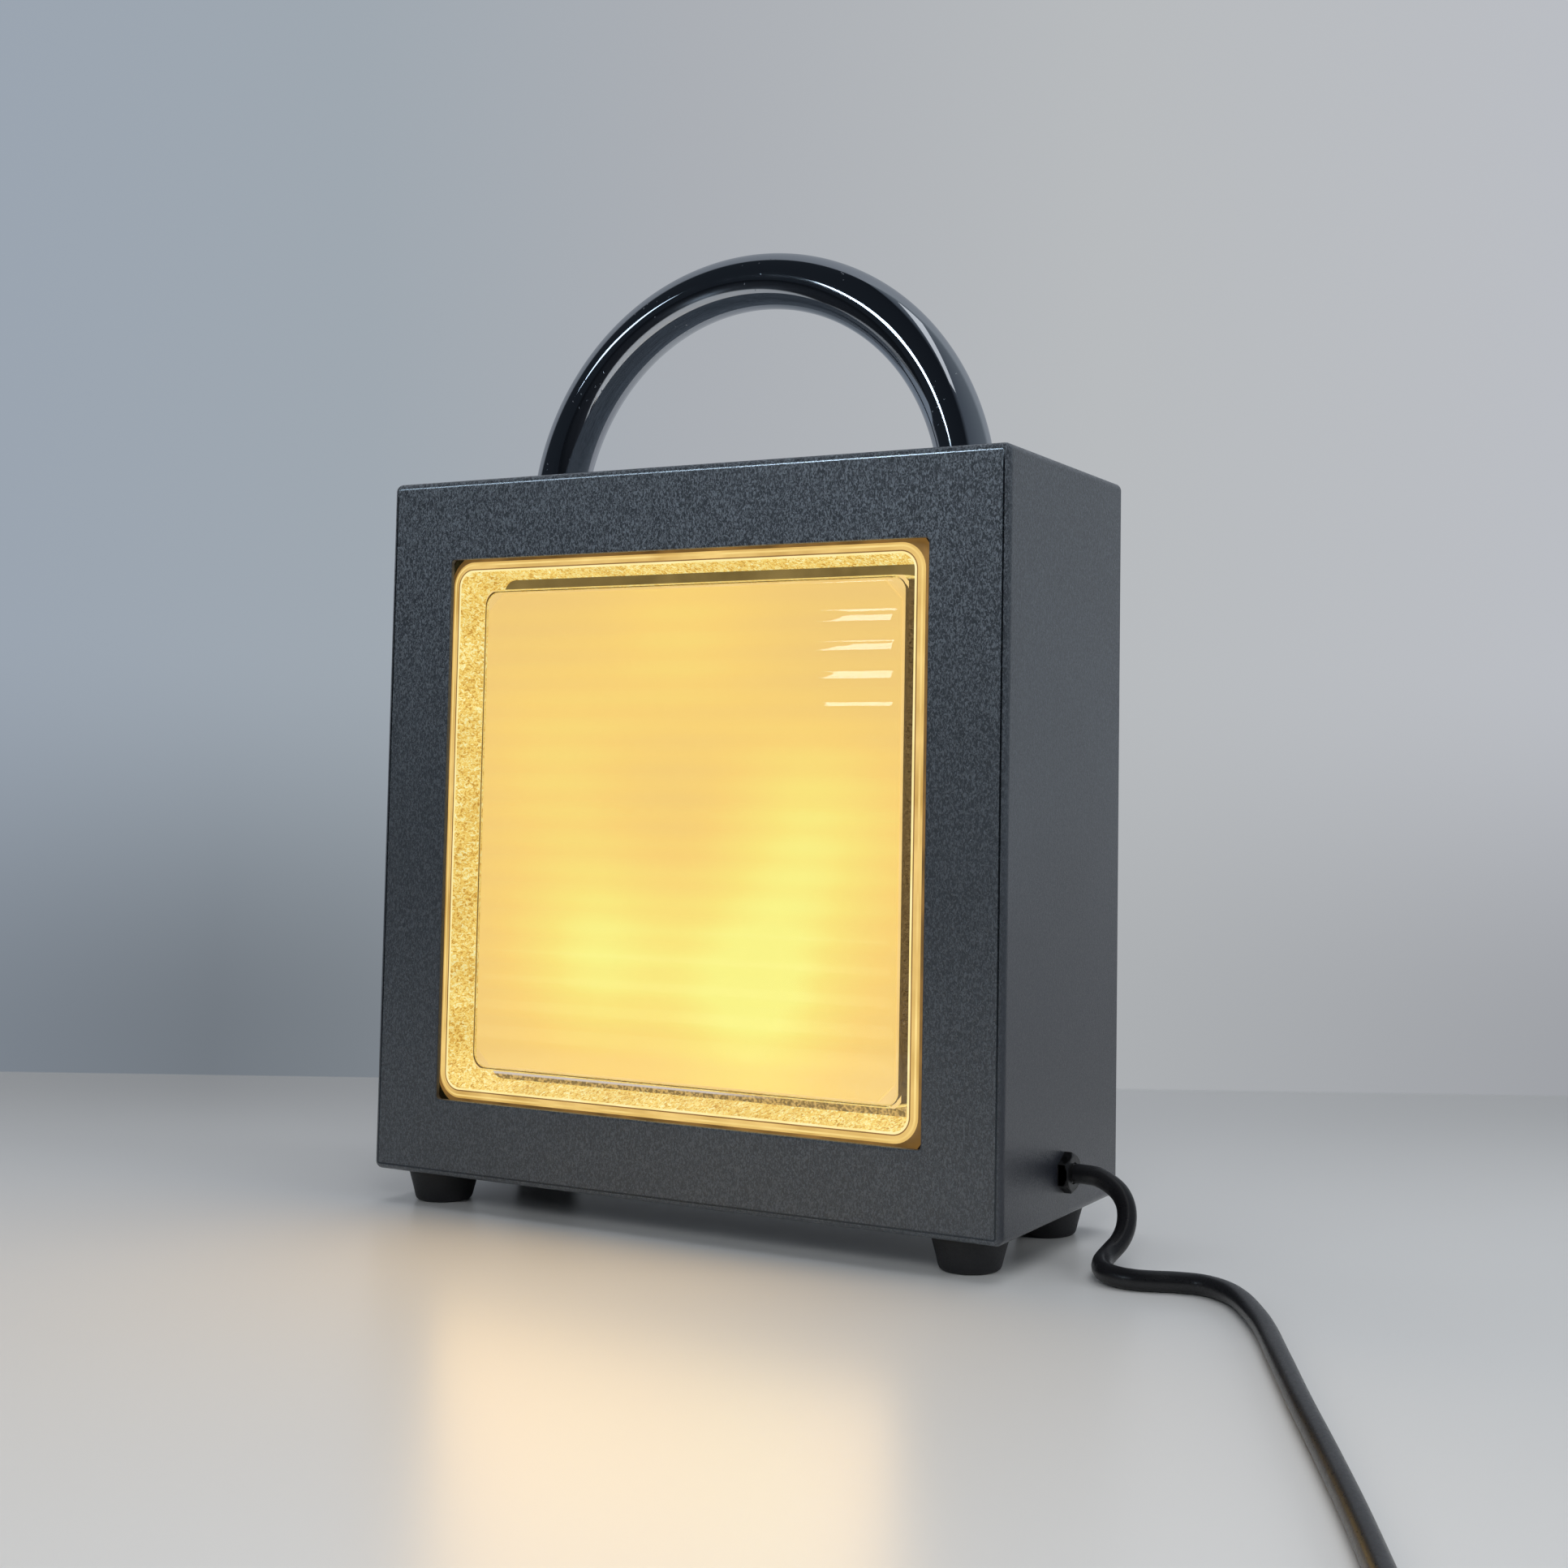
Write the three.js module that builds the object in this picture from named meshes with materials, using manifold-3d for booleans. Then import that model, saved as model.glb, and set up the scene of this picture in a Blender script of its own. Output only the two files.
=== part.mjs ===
// Glass block table lamp. A folded steel box frames a hollow glass block, which LED modules
// light from behind. A bent tube on top is the handle, and four tapered rubber feet carry the box.
// The mains cord leaves through a gland on the right, and has a rocker switch and a flat plug.
// Millimetres: +X is right and +Z is up for someone facing the glass, and the front faces -Y.
// The origin is on the table, under the middle of the box.

import * as THREE from "three";
import { RoundedBoxGeometry } from "three/addons/geometries/RoundedBoxGeometry.js";
import { mergeVertices } from "three/addons/utils/BufferGeometryUtils.js";
import Module from "manifold-3d";

const wasm = await Module();
wasm.setup();

// Driving dimensions
const GAP = 0.3; // clearance between pieces that touch
const BOX = 235; // width and height of the steel box
const DEPTH = 91; // depth of the box, front to back
const SHEET = 1.5; // thickness of the folded steel
const BEND = 2; // outer radius of the folded edges
const WINDOW = 182; // side of the square window
const WINDOW_CORNER = 1.3;
const WINDOW_DROP = 1; // the window's middle lies this far below the box's
const FLANGE = 10; // width of the return flange that carries the rear cover
const COVER = 1.2; // thickness of the rear cover
const FOOT_HEIGHT = 11;
const FOOT_X = 100; // feet from the middle, across
const FOOT_Y = 29; // feet from the middle, front to back
const GLASS = 190; // side of the glass block
const GLASS_DEPTH = 80;
const GLASS_EDGE = 7.4; // rounding between the block's face and its sides
const GLASS_WAIST = 173; // side of the block at its seam, where the mortar groove is deepest
const GLASS_SHIFT = -1.8; // the block sits this far left of the box's middle
const GLASS_CORNER = 10; // corner radius of the block's outline
const GLASS_PANE = 9; // thickness of the block's two faces
const PANE = 160.2; // side of the clear pane, where the block's cavity starts
const GASKET = 3; // thickness of the foam between the steel and the glass's rounded edge
const AXIS_Y = 1.5; // the handle and the gland stand this far behind the middle
const HANDLE_RADIUS = 81.8; // centre line of the handle's arc
const HANDLE_TUBE = 9.5; // radius of the handle's bar
const HANDLE_DROP = 11.5; // the arc's centre lies this far below the box's top
const GLAND_Z = 25.4;
const GLAND_FLATS = 11; // hexagon across flats
const GLAND_HEAD = 3; // thickness of the hexagon
const CORD = 3; // radius of the mains cord

// Levels and planes worked out from them
const BOTTOM = FOOT_HEIGHT;
const TOP = BOTTOM + BOX;
const MIDDLE = BOTTOM + BOX / 2;
const HALF = BOX / 2;
const INNER = HALF - SHEET;
const FRONT = -DEPTH / 2;
const REAR = DEPTH / 2;
const COVER_REAR = REAR - 1.7;
const FLANGE_REAR = COVER_REAR - COVER - GAP;
const FLANGE_FRONT = FLANGE_REAR - SHEET;
const GASKET_FRONT = FRONT + SHEET + GAP;
const GLASS_FRONT = FRONT + 2.7;
const GLASS_REAR = GLASS_FRONT + GLASS_DEPTH;
const SEAM = GLASS_FRONT + GLASS_DEPTH / 2;

const steel = new THREE.MeshStandardMaterial({ color: 0x3c4249, roughness: 0.5, metalness: 0.4 });
const zinc = new THREE.MeshStandardMaterial({ color: 0xb4b6b8, roughness: 0.4, metalness: 1 });
const chrome = new THREE.MeshStandardMaterial({ color: 0xdcdfe2, roughness: 0.05, metalness: 1 });
const rubber = new THREE.MeshStandardMaterial({ color: 0x15161a, roughness: 0.8, metalness: 0 });
const plastic = new THREE.MeshStandardMaterial({ color: 0x0c0c0d, roughness: 0.35, metalness: 0 });
const glass = new THREE.MeshStandardMaterial({ color: 0xf2d391, roughness: 0.08, metalness: 0 });
const opal = new THREE.MeshStandardMaterial({ color: 0xf9d880, roughness: 0.5, metalness: 0 });
const foam = new THREE.MeshStandardMaterial({ color: 0x2a2622, roughness: 0.95, metalness: 0 });
const board = new THREE.MeshStandardMaterial({ color: 0xe6e6e2, roughness: 0.5, metalness: 0 });
const emitter = new THREE.MeshStandardMaterial({ color: 0xf4c542, roughness: 0.4, metalness: 0 });
const grey = new THREE.MeshStandardMaterial({ color: 0x9a9a94, roughness: 0.8, metalness: 0 });
const white = new THREE.MeshStandardMaterial({ color: 0xe9e7e0, roughness: 0.5, metalness: 0 });
const brass = new THREE.MeshStandardMaterial({ color: 0xc9a24c, roughness: 0.3, metalness: 1 });

const lamp = new THREE.Group();
lamp.name = "glass_block_lamp";

function add(name, geometry, material, place = [0, 0, 0], parent = lamp) {
  const mesh = new THREE.Mesh(geometry, material);
  mesh.name = name;
  mesh.position.set(...place);
  parent.add(mesh);
  return mesh;
}

// Solids: booleans on closed three.js geometries

function toSolid(geometry) {
  const bare = geometry.clone();
  bare.deleteAttribute("normal");
  bare.deleteAttribute("uv");
  const merged = mergeVertices(bare);
  const index = merged.getIndex().array;
  const triVerts = [];
  for (let i = 0; i < index.length; i += 3) {
    const [a, b, c] = index.slice(i, i + 3);
    if (a !== b && b !== c && c !== a) triVerts.push(a, b, c);
  }
  const vertProperties = new Float32Array(merged.getAttribute("position").array);
  const mesh = new wasm.Mesh({ numProp: 3, vertProperties, triVerts: new Uint32Array(triVerts) });
  return new wasm.Manifold(mesh);
}

function toGeometry(solid) {
  const mesh = solid.getMesh();
  const geometry = new THREE.BufferGeometry();
  geometry.setAttribute("position", new THREE.BufferAttribute(mesh.vertProperties, 3));
  geometry.setIndex(new THREE.BufferAttribute(mesh.triVerts, 1));
  geometry.computeVertexNormals();
  return geometry;
}

function cut(body, ...tools) {
  const solid = tools.reduce((left, tool) => left.subtract(toSolid(tool)), toSolid(body));
  return toGeometry(solid);
}

function join(body, ...others) {
  const solid = others.reduce((whole, other) => whole.add(toSolid(other)), toSolid(body));
  return toGeometry(solid);
}

// Shapes

function block([x0, x1], [y0, y1], [z0, z1]) {
  const geometry = new THREE.BoxGeometry(x1 - x0, y1 - y0, z1 - z0);
  return geometry.translate((x0 + x1) / 2, (y0 + y1) / 2, (z0 + z1) / 2);
}

// A cylinder standing on its base, pointing up.
function rod(radius, length, sides = 24) {
  const geometry = new THREE.CylinderGeometry(radius, radius, length, sides);
  return geometry.rotateX(Math.PI / 2).translate(0, 0, length / 2);
}

// A solid of revolution about Z, from [radius, height] points that run upwards on the outside.
function turned(profile, sides = 24) {
  const points = profile.map(([radius, height]) => new THREE.Vector2(radius, height));
  return new THREE.LatheGeometry(points, sides).rotateX(Math.PI / 2);
}

function roundedSquare(size, corner) {
  const h = size / 2;
  const c = h - corner;
  const shape = new THREE.Shape();
  shape.moveTo(-c, -h);
  shape.lineTo(c, -h);
  shape.absarc(c, -c, corner, -Math.PI / 2, 0, false);
  shape.lineTo(h, c);
  shape.absarc(c, c, corner, 0, Math.PI / 2, false);
  shape.lineTo(-c, h);
  shape.absarc(-c, c, corner, Math.PI / 2, Math.PI, false);
  shape.lineTo(-h, -c);
  shape.absarc(-c, -c, corner, Math.PI, 1.5 * Math.PI, false);
  return shape;
}

// An upright square slab, drawn in X and Z about the box's middle, from y0 to y1.
function slab(size, corner, y0, y1) {
  const options = { depth: y1 - y0, bevelEnabled: false, curveSegments: 3 };
  const geometry = new THREE.ExtrudeGeometry(roundedSquare(size, corner), options);
  return geometry.rotateX(Math.PI / 2).translate(0, y1, MIDDLE);
}

// A solid through upright rounded squares, given front to back as { size, corner, y }.
function lofted(sections) {
  const rings = sections.map(({ size, corner }) => roundedSquare(size, corner).getPoints(3));
  const count = rings[0].length - 1;
  const positions = [];
  rings.forEach((ring, i) => {
    ring.slice(0, count).forEach((point) => positions.push(point.x, sections[i].y, point.y));
  });
  const index = [];
  for (let k = 1; k < count - 1; k += 1) index.push(0, k, k + 1);
  for (let i = 0; i < rings.length - 1; i += 1) {
    for (let k = 0; k < count; k += 1) {
      const a = i * count + k;
      const b = i * count + ((k + 1) % count);
      index.push(a, a + count, b + count, a, b + count, b);
    }
  }
  const last = (rings.length - 1) * count;
  for (let k = 1; k < count - 1; k += 1) index.push(last, last + k + 1, last + k);
  const geometry = new THREE.BufferGeometry();
  geometry.setAttribute("position", new THREE.Float32BufferAttribute(positions, 3));
  geometry.setIndex(index);
  return geometry.translate(0, 0, MIDDLE);
}

// A round bar or cord along a smooth curve through points.
function pipe(points, radius, sides, steps) {
  const route = points.map((point) => new THREE.Vector3(...point));
  const corners = Array.from({ length: sides }, (_, i) => {
    const angle = (2 * Math.PI * i) / sides;
    return new THREE.Vector2(radius * Math.cos(angle), radius * Math.sin(angle));
  });
  const extrudePath = new THREE.CatmullRomCurve3(route, false, "centripetal");
  return new THREE.ExtrudeGeometry(new THREE.Shape(corners), { steps, extrudePath });
}

// A screw pointing up, with its head at the bottom.
function screw(headRadius, headHeight, shaftRadius, shaftLength, sides = 16) {
  const profile = [
    [0, 0],
    [headRadius, 0],
    [headRadius, headHeight],
    [shaftRadius, headHeight],
    [shaftRadius, headHeight + shaftLength],
    [0, headHeight + shaftLength],
  ];
  return turned(profile, sides);
}

// A hexagon plate with a hole, standing on its base, with corners along X.
function nut(flats, thickness, holeRadius) {
  const hexagon = rod(flats / Math.sqrt(3), thickness, 6).rotateZ(Math.PI / 6);
  return cut(hexagon, rod(holeRadius, thickness + 2, 18).translate(0, 0, -1));
}

// The box

const COVER_SCREW = HALF - SHEET - FLANGE / 2;
const coverScrewPlaces = [-1, 1].flatMap((x) => [-1, 0, 1].map((z) => [x, z]));

function frontShell() {
  const margin = 10;
  const outer = new RoundedBoxGeometry(BOX, DEPTH + margin, BOX, 3, BEND);
  outer.translate(0, margin / 2, MIDDLE);
  const walls = [-INNER, INNER];
  const heights = [MIDDLE - INNER, MIDDLE + INNER];
  const lip = INNER - FLANGE;
  const tools = [
    block(walls, [FRONT + SHEET, FLANGE_FRONT], heights),
    block([-lip, lip], [0, REAR], [MIDDLE - lip, MIDDLE + lip]),
    block(walls, [FLANGE_REAR, REAR + 1], heights),
    block([-BOX, BOX], [REAR, REAR + 2 * margin], [0, 2 * BOX]),
    slab(WINDOW, WINDOW_CORNER, FRONT - 1, FRONT + SHEET + 1).translate(0, 0, -WINDOW_DROP),
    rod(5.3, 10).rotateY(Math.PI / 2).translate(INNER - 4, AXIS_Y, GLAND_Z),
  ];
  for (const side of [-1, 1]) {
    tools.push(rod(3.4, 10).translate(side * HANDLE_SPREAD, AXIS_Y, TOP - 5));
    for (const end of [-1, 1]) {
      tools.push(rod(2.3, 10, 16).translate(side * FOOT_X, end * FOOT_Y, BOTTOM - 5));
    }
  }
  for (const [x, z] of coverScrewPlaces) {
    const hole = rod(1.6, 6, 12).rotateX(-Math.PI / 2);
    tools.push(hole.translate(x * COVER_SCREW, FLANGE_FRONT - 2, MIDDLE + z * COVER_SCREW));
  }
  return cut(outer, ...tools);
}

function rearCover() {
  const plate = slab(2 * (INNER - GAP), 1, COVER_REAR - COVER, COVER_REAR);
  const tools = coverScrewPlaces.map(([x, z]) => {
    const hole = rod(1.8, 6, 12).rotateX(-Math.PI / 2);
    return hole.translate(x * COVER_SCREW, COVER_REAR - 4, MIDDLE + z * COVER_SCREW);
  });
  for (let i = -4; i <= 4; i += 1) {
    for (const row of [-1, 1]) {
      const [x, z] = [i * 17, MIDDLE + row * 96];
      tools.push(block([x - 2, x + 2], [FLANGE_REAR, REAR], [z - 5.5, z + 5.5]));
    }
  }
  return cut(plate, ...tools);
}

// The glass block and what holds it

function glassHalf() {
  const rim = [0, 1, 2, 3, 4].map((step) => {
    const angle = (step * Math.PI) / 8;
    const inset = GLASS_EDGE * (1 - Math.sin(angle));
    const y = GLASS_FRONT + GLASS_EDGE * (1 - Math.cos(angle));
    return { size: GLASS - 2 * inset, corner: GLASS_CORNER - inset, y };
  });
  const groove = [
    { size: GLASS, corner: GLASS_CORNER, y: GLASS_FRONT + 11 },
    { size: GLASS - 6, corner: GLASS_CORNER - 2, y: GLASS_FRONT + 13 },
    { size: GLASS_WAIST, corner: 5, y: SEAM - GAP / 2 },
  ];
  const outer = lofted([...rim, ...groove]);
  const cavity = lofted([
    { size: PANE, corner: 5, y: GLASS_FRONT + GLASS_PANE },
    { size: PANE + 2.4, corner: 5.5, y: GLASS_FRONT + GLASS_PANE + 1.4 },
    { size: GLASS_WAIST - 7, corner: 6, y: SEAM + 1 },
  ]);
  return cut(outer, cavity);
}

function gasket() {
  const ring = roundedSquare(189.6, 9);
  ring.holes.push(roundedSquare(186.4, 7.5));
  const options = { depth: GASKET, bevelEnabled: false, curveSegments: 3 };
  const geometry = new THREE.ExtrudeGeometry(ring, options).rotateX(Math.PI / 2);
  return geometry.translate(0, GASKET_FRONT + GASKET, MIDDLE);
}

function diffuser() {
  const h = PANE / 2 - 1.6;
  const bevel = 6;
  const shape = new THREE.Shape();
  shape.moveTo(-h + bevel, -h);
  for (const [x, z] of [[h - bevel, -h], [h, -h + bevel], [h, h - bevel], [h - bevel, h]]) {
    shape.lineTo(x, z);
  }
  for (const [x, z] of [[-h + bevel, h], [-h, h - bevel], [-h, -h + bevel]]) shape.lineTo(x, z);
  const sheet = new THREE.ExtrudeGeometry(shape, { depth: 1.5, bevelEnabled: false });
  return sheet.rotateX(Math.PI / 2).translate(0, GLASS_FRONT + GLASS_PANE + GAP + 1.5, MIDDLE);
}

// An angle bracket on a side wall: one leg on the wall, the other behind the glass.
function bracket() {
  const wall = INNER - GAP;
  const thickness = 1.2;
  const rear = GLASS_REAR + GAP + thickness;
  const leg = block([wall - thickness, wall], [8, rear], [-12, 12]);
  const lip = block([84, wall], [rear - thickness, rear], [-12, 12]);
  return join(leg, lip);
}

// The light

const MODULE_FRONT = GLASS_REAR + GAP;
const MODULE = 1.1; // thickness of an LED module
const BOARD_FRONT = MODULE_FRONT + MODULE + GAP;
const BOARD = 1.5;
const PAD_FRONT = BOARD_FRONT + BOARD + GAP;
const PAD_REAR = COVER_REAR - COVER - GAP;
// Places of the LED modules, in X and Z from the middle of the glass
const MODULE_PLACES = [[51, 0], [30, -50], [-32, -39], [-49, 24], [1, 62]];

function light() {
  add("led_board", slab(170, 6, BOARD_FRONT, BOARD_FRONT + BOARD), board);
  add("thermal_pad", slab(160, 3, PAD_FRONT, PAD_REAR), grey);
  const disc = rod(9, MODULE, 20).rotateX(-Math.PI / 2);
  MODULE_PLACES.forEach(([x, z], i) => {
    const place = [x + GLASS_SHIFT, MODULE_FRONT, MIDDLE - WINDOW_DROP + z];
    add(`led_module_${i + 1}`, disc, emitter, place);
  });
}

// Drive electronics and wiring under the glass
function electronics() {
  const driverTop = 17;
  const driver = new RoundedBoxGeometry(102, 33, driverTop, 1, 1.5);
  const floor = BOTTOM + SHEET + GAP;
  add("led_driver", driver, white, [-11, AXIS_Y, floor + driverTop / 2]);
  const terminals = cut(
    block([50, 74], [AXIS_Y - 10, AXIS_Y + 10], [floor, floor + 14]),
    rod(2, 8, 12).translate(62, AXIS_Y - 5, floor + 8),
    rod(2, 8, 12).translate(62, AXIS_Y + 5, floor + 8),
  );
  add("terminal_block", terminals, white);
  const mainsLead = [
    [120.5, AXIS_Y, GLAND_Z],
    [106, AXIS_Y, GLAND_Z],
    [96, AXIS_Y, 24.4],
    [86, AXIS_Y, 21],
    [74 + GAP, AXIS_Y, 20],
  ];
  add("mains_lead_inner", pipe(mainsLead, CORD, 10, 12), plastic);
  const boardLead = [
    [-62 - GAP, AXIS_Y, 20],
    [-70, 2.5, 20],
    [-77, 9, 20],
    [-78, 18, 20.5],
    [-76, 28, 22.5],
    [-73, 36, 27],
    [-70, 39.4, 34],
    [-70, 39.6, MIDDLE - 85 - GAP],
  ];
  add("led_lead", pipe(boardLead, 1.2, 8, 22), white);
}

// The handle and its fixings

const ARC_Z = TOP - HANDLE_DROP;
const HANDLE_SPREAD = Math.sqrt(HANDLE_RADIUS ** 2 - HANDLE_DROP ** 2);

class Arc extends THREE.Curve {
  getPoint(t, target = new THREE.Vector3()) {
    const start = Math.asin(HANDLE_DROP / HANDLE_RADIUS) - 0.15;
    const angle = start + t * (Math.PI - 2 * start);
    const x = HANDLE_RADIUS * Math.cos(angle);
    return target.set(x, AXIS_Y, ARC_Z + HANDLE_RADIUS * Math.sin(angle));
  }
}

function handle() {
  const sides = 28;
  const corners = Array.from({ length: sides }, (_, i) => {
    const angle = (2 * Math.PI * i) / sides;
    return new THREE.Vector2(HANDLE_TUBE * Math.cos(angle), HANDLE_TUBE * Math.sin(angle));
  });
  const options = { steps: 40, extrudePath: new Arc() };
  const bar = new THREE.ExtrudeGeometry(new THREE.Shape(corners), options);
  const below = block([-BOX, BOX], [-30, 30], [TOP - 60, TOP + GAP]);
  const holes = [-1, 1].map((side) => {
    return rod(3.4, 16).translate(side * HANDLE_SPREAD, AXIS_Y, TOP - 1);
  });
  return cut(bar, below, ...holes);
}

function handleFixings() {
  const washer = cut(rod(8, 1.3), rod(3.4, 4).translate(0, 0, -1));
  const bolt = join(rod(5.8, 4, 6), rod(3, 17).translate(0, 0, 3));
  const washerZ = TOP - SHEET - GAP - 1.3;
  for (const [side, name] of [[-1, "left"], [1, "right"]]) {
    const x = side * HANDLE_SPREAD;
    add(`handle_washer_${name}`, washer, zinc, [x, AXIS_Y, washerZ]);
    add(`handle_bolt_${name}`, bolt, zinc, [x, AXIS_Y, washerZ - GAP - 4]);
  }
}

// The feet: tapered rubber, each with a screw up through it into a nut inside the box.
function feet() {
  const foot = turned([
    [2.3, 6],
    [4.3, 6],
    [4.3, 0],
    [7.9, 0],
    [9.1, 0.5],
    [9.7, 1.6],
    [12.4, FOOT_HEIGHT - GAP],
    [2.3, FOOT_HEIGHT - GAP],
    [2.3, 6],
  ]);
  const footScrew = screw(3.8, 2.3, 1.9, 13);
  const footNut = nut(7, 3, 2.25);
  for (const [y, end] of [[-FOOT_Y, "front"], [FOOT_Y, "rear"]]) {
    for (const [x, side] of [[-FOOT_X, "left"], [FOOT_X, "right"]]) {
      add(`foot_${end}_${side}`, foot, rubber, [x, y, 0]);
      add(`foot_screw_${end}_${side}`, footScrew, zinc, [x, y, 6 - GAP - 2.3]);
      add(`foot_nut_${end}_${side}`, footNut, zinc, [x, y, BOTTOM + SHEET + GAP]);
    }
  }
}

// The cord gland: a hexagon outside the right wall, its barrel through it and a locknut inside.
function gland() {
  const circumradius = GLAND_FLATS / Math.sqrt(3);
  const chamfer = turned([
    [0, 0],
    [circumradius, 0],
    [circumradius, GLAND_HEAD - 0.9],
    [circumradius - 0.9, GLAND_HEAD],
    [0, GLAND_HEAD],
  ]);
  const hexagon = rod(circumradius, GLAND_HEAD, 6).rotateZ(Math.PI / 6);
  const head = toGeometry(toSolid(hexagon).intersect(toSolid(chamfer)));
  const outside = HALF + GAP;
  const barrel = rod(5, outside - 105.5).translate(0, 0, 105.5 - outside);
  const bore = rod(CORD + GAP, 30).translate(0, 0, -20);
  const body = cut(join(head, barrel.translate(0, 0, 0.1)), bore);
  const alongX = (geometry) => geometry.rotateY(Math.PI / 2);
  add("gland_body", alongX(body), plastic, [outside, AXIS_Y, GLAND_Z]);
  const locknut = alongX(nut(13.5, 3, 5.3));
  add("gland_locknut", locknut, plastic, [INNER - GAP - 3, AXIS_Y, GLAND_Z]);
}

// The mains cord: to the switch, on to a coil of its spare length, and on to the plug.

const lampToSwitch = [
  [HALF + GAP + GLAND_HEAD + GAP, AXIS_Y, GLAND_Z],
  [125.1, 1.5, 25.4],
  [129, 1.8, 24.9],
  [132.5, 1.6, 23.4],
  [135.6, 1.1, 21.4],
  [137.9, 0, 18.8],
  [139.3, -1.6, 15.8],
  [139.9, -4.3, 11.9],
  [139.2, -7.6, 8.4],
  [137.7, -11.5, 5.8],
  [137.4, -16, 4.4],
  [138.9, -21.1, 3.6],
  [142, -25.2, 3.2],
  [146.6, -27.6, 3],
  [152, -28.2, 3],
  [157.6, -26.8, 3],
  [163.2, -24.8, 3],
  [171.1, -24, 3],
  [181.3, -30, 3],
  [196.6, -53.4, 3],
  [211.8, -86, 3],
  [226.5, -118.9, 3],
  [241.6, -151.7, 3],
  [256.4, -184.5, 3],
  [270.7, -217.6, 3],
  [280.8, -241.6, 3.4],
  [284.6, -250.8, 4.3],
  [287.6, -258.1, 5.6],
  [290.4, -265.6, 6],
];

const SWITCH_AT = [301, -294, 0];
const SWITCH_TURN = THREE.MathUtils.degToRad(-69.5);
const switchToCoil = [
  [311.6, -322.4, 6],
  [314.2, -330.4, 5],
  [315, -340, 3.5],
  [312, -350.6, 3],
  [304.6, -359.6, 3],
  [293.8, -365, 3],
  [280, -366.6, 3],
  [265.2, -366.5, 3],
];
const COIL_AT = [240, -324.5, 0];
const COIL_TURN = 2 * CORD + 0.1; // pitch between neighbouring turns
const COIL_OUTER = 42; // radius of the outermost turn's centre line
const COIL_TURNS = 3; // in each of the two layers
const coilToPlug = [
  [214.8, -366.5, 8.4],
  [209, -366.2, 7.6],
  [203.3, -366, 7],
];

function cords() {
  add("mains_cord_lamp", pipe(lampToSwitch, CORD, 8, 34), rubber);
  add("mains_cord_coil_lead", pipe(switchToCoil, CORD, 8, 9), rubber);
  add("mains_cord_plug_lead", pipe(coilToPlug, CORD, 8, 2), rubber);
  const inner = COIL_OUTER - COIL_TURNS * COIL_TURN - CORD;
  const outer = COIL_OUTER + CORD + GAP;
  const height = 2 * COIL_TURN + 0.2;
  const profile = [
    [inner, 2],
    [inner + 2, 0],
    [outer - 2, 0],
    [outer, 2],
    [outer, height - 2],
    [outer - 2, height],
    [inner + 2, height],
    [inner, height - 2],
    [inner, 2],
  ];
  add("mains_cord_coil", turned(profile, 36), rubber, COIL_AT);
}

const PIVOT = 1.4; // radius of the rocker's pins

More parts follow.
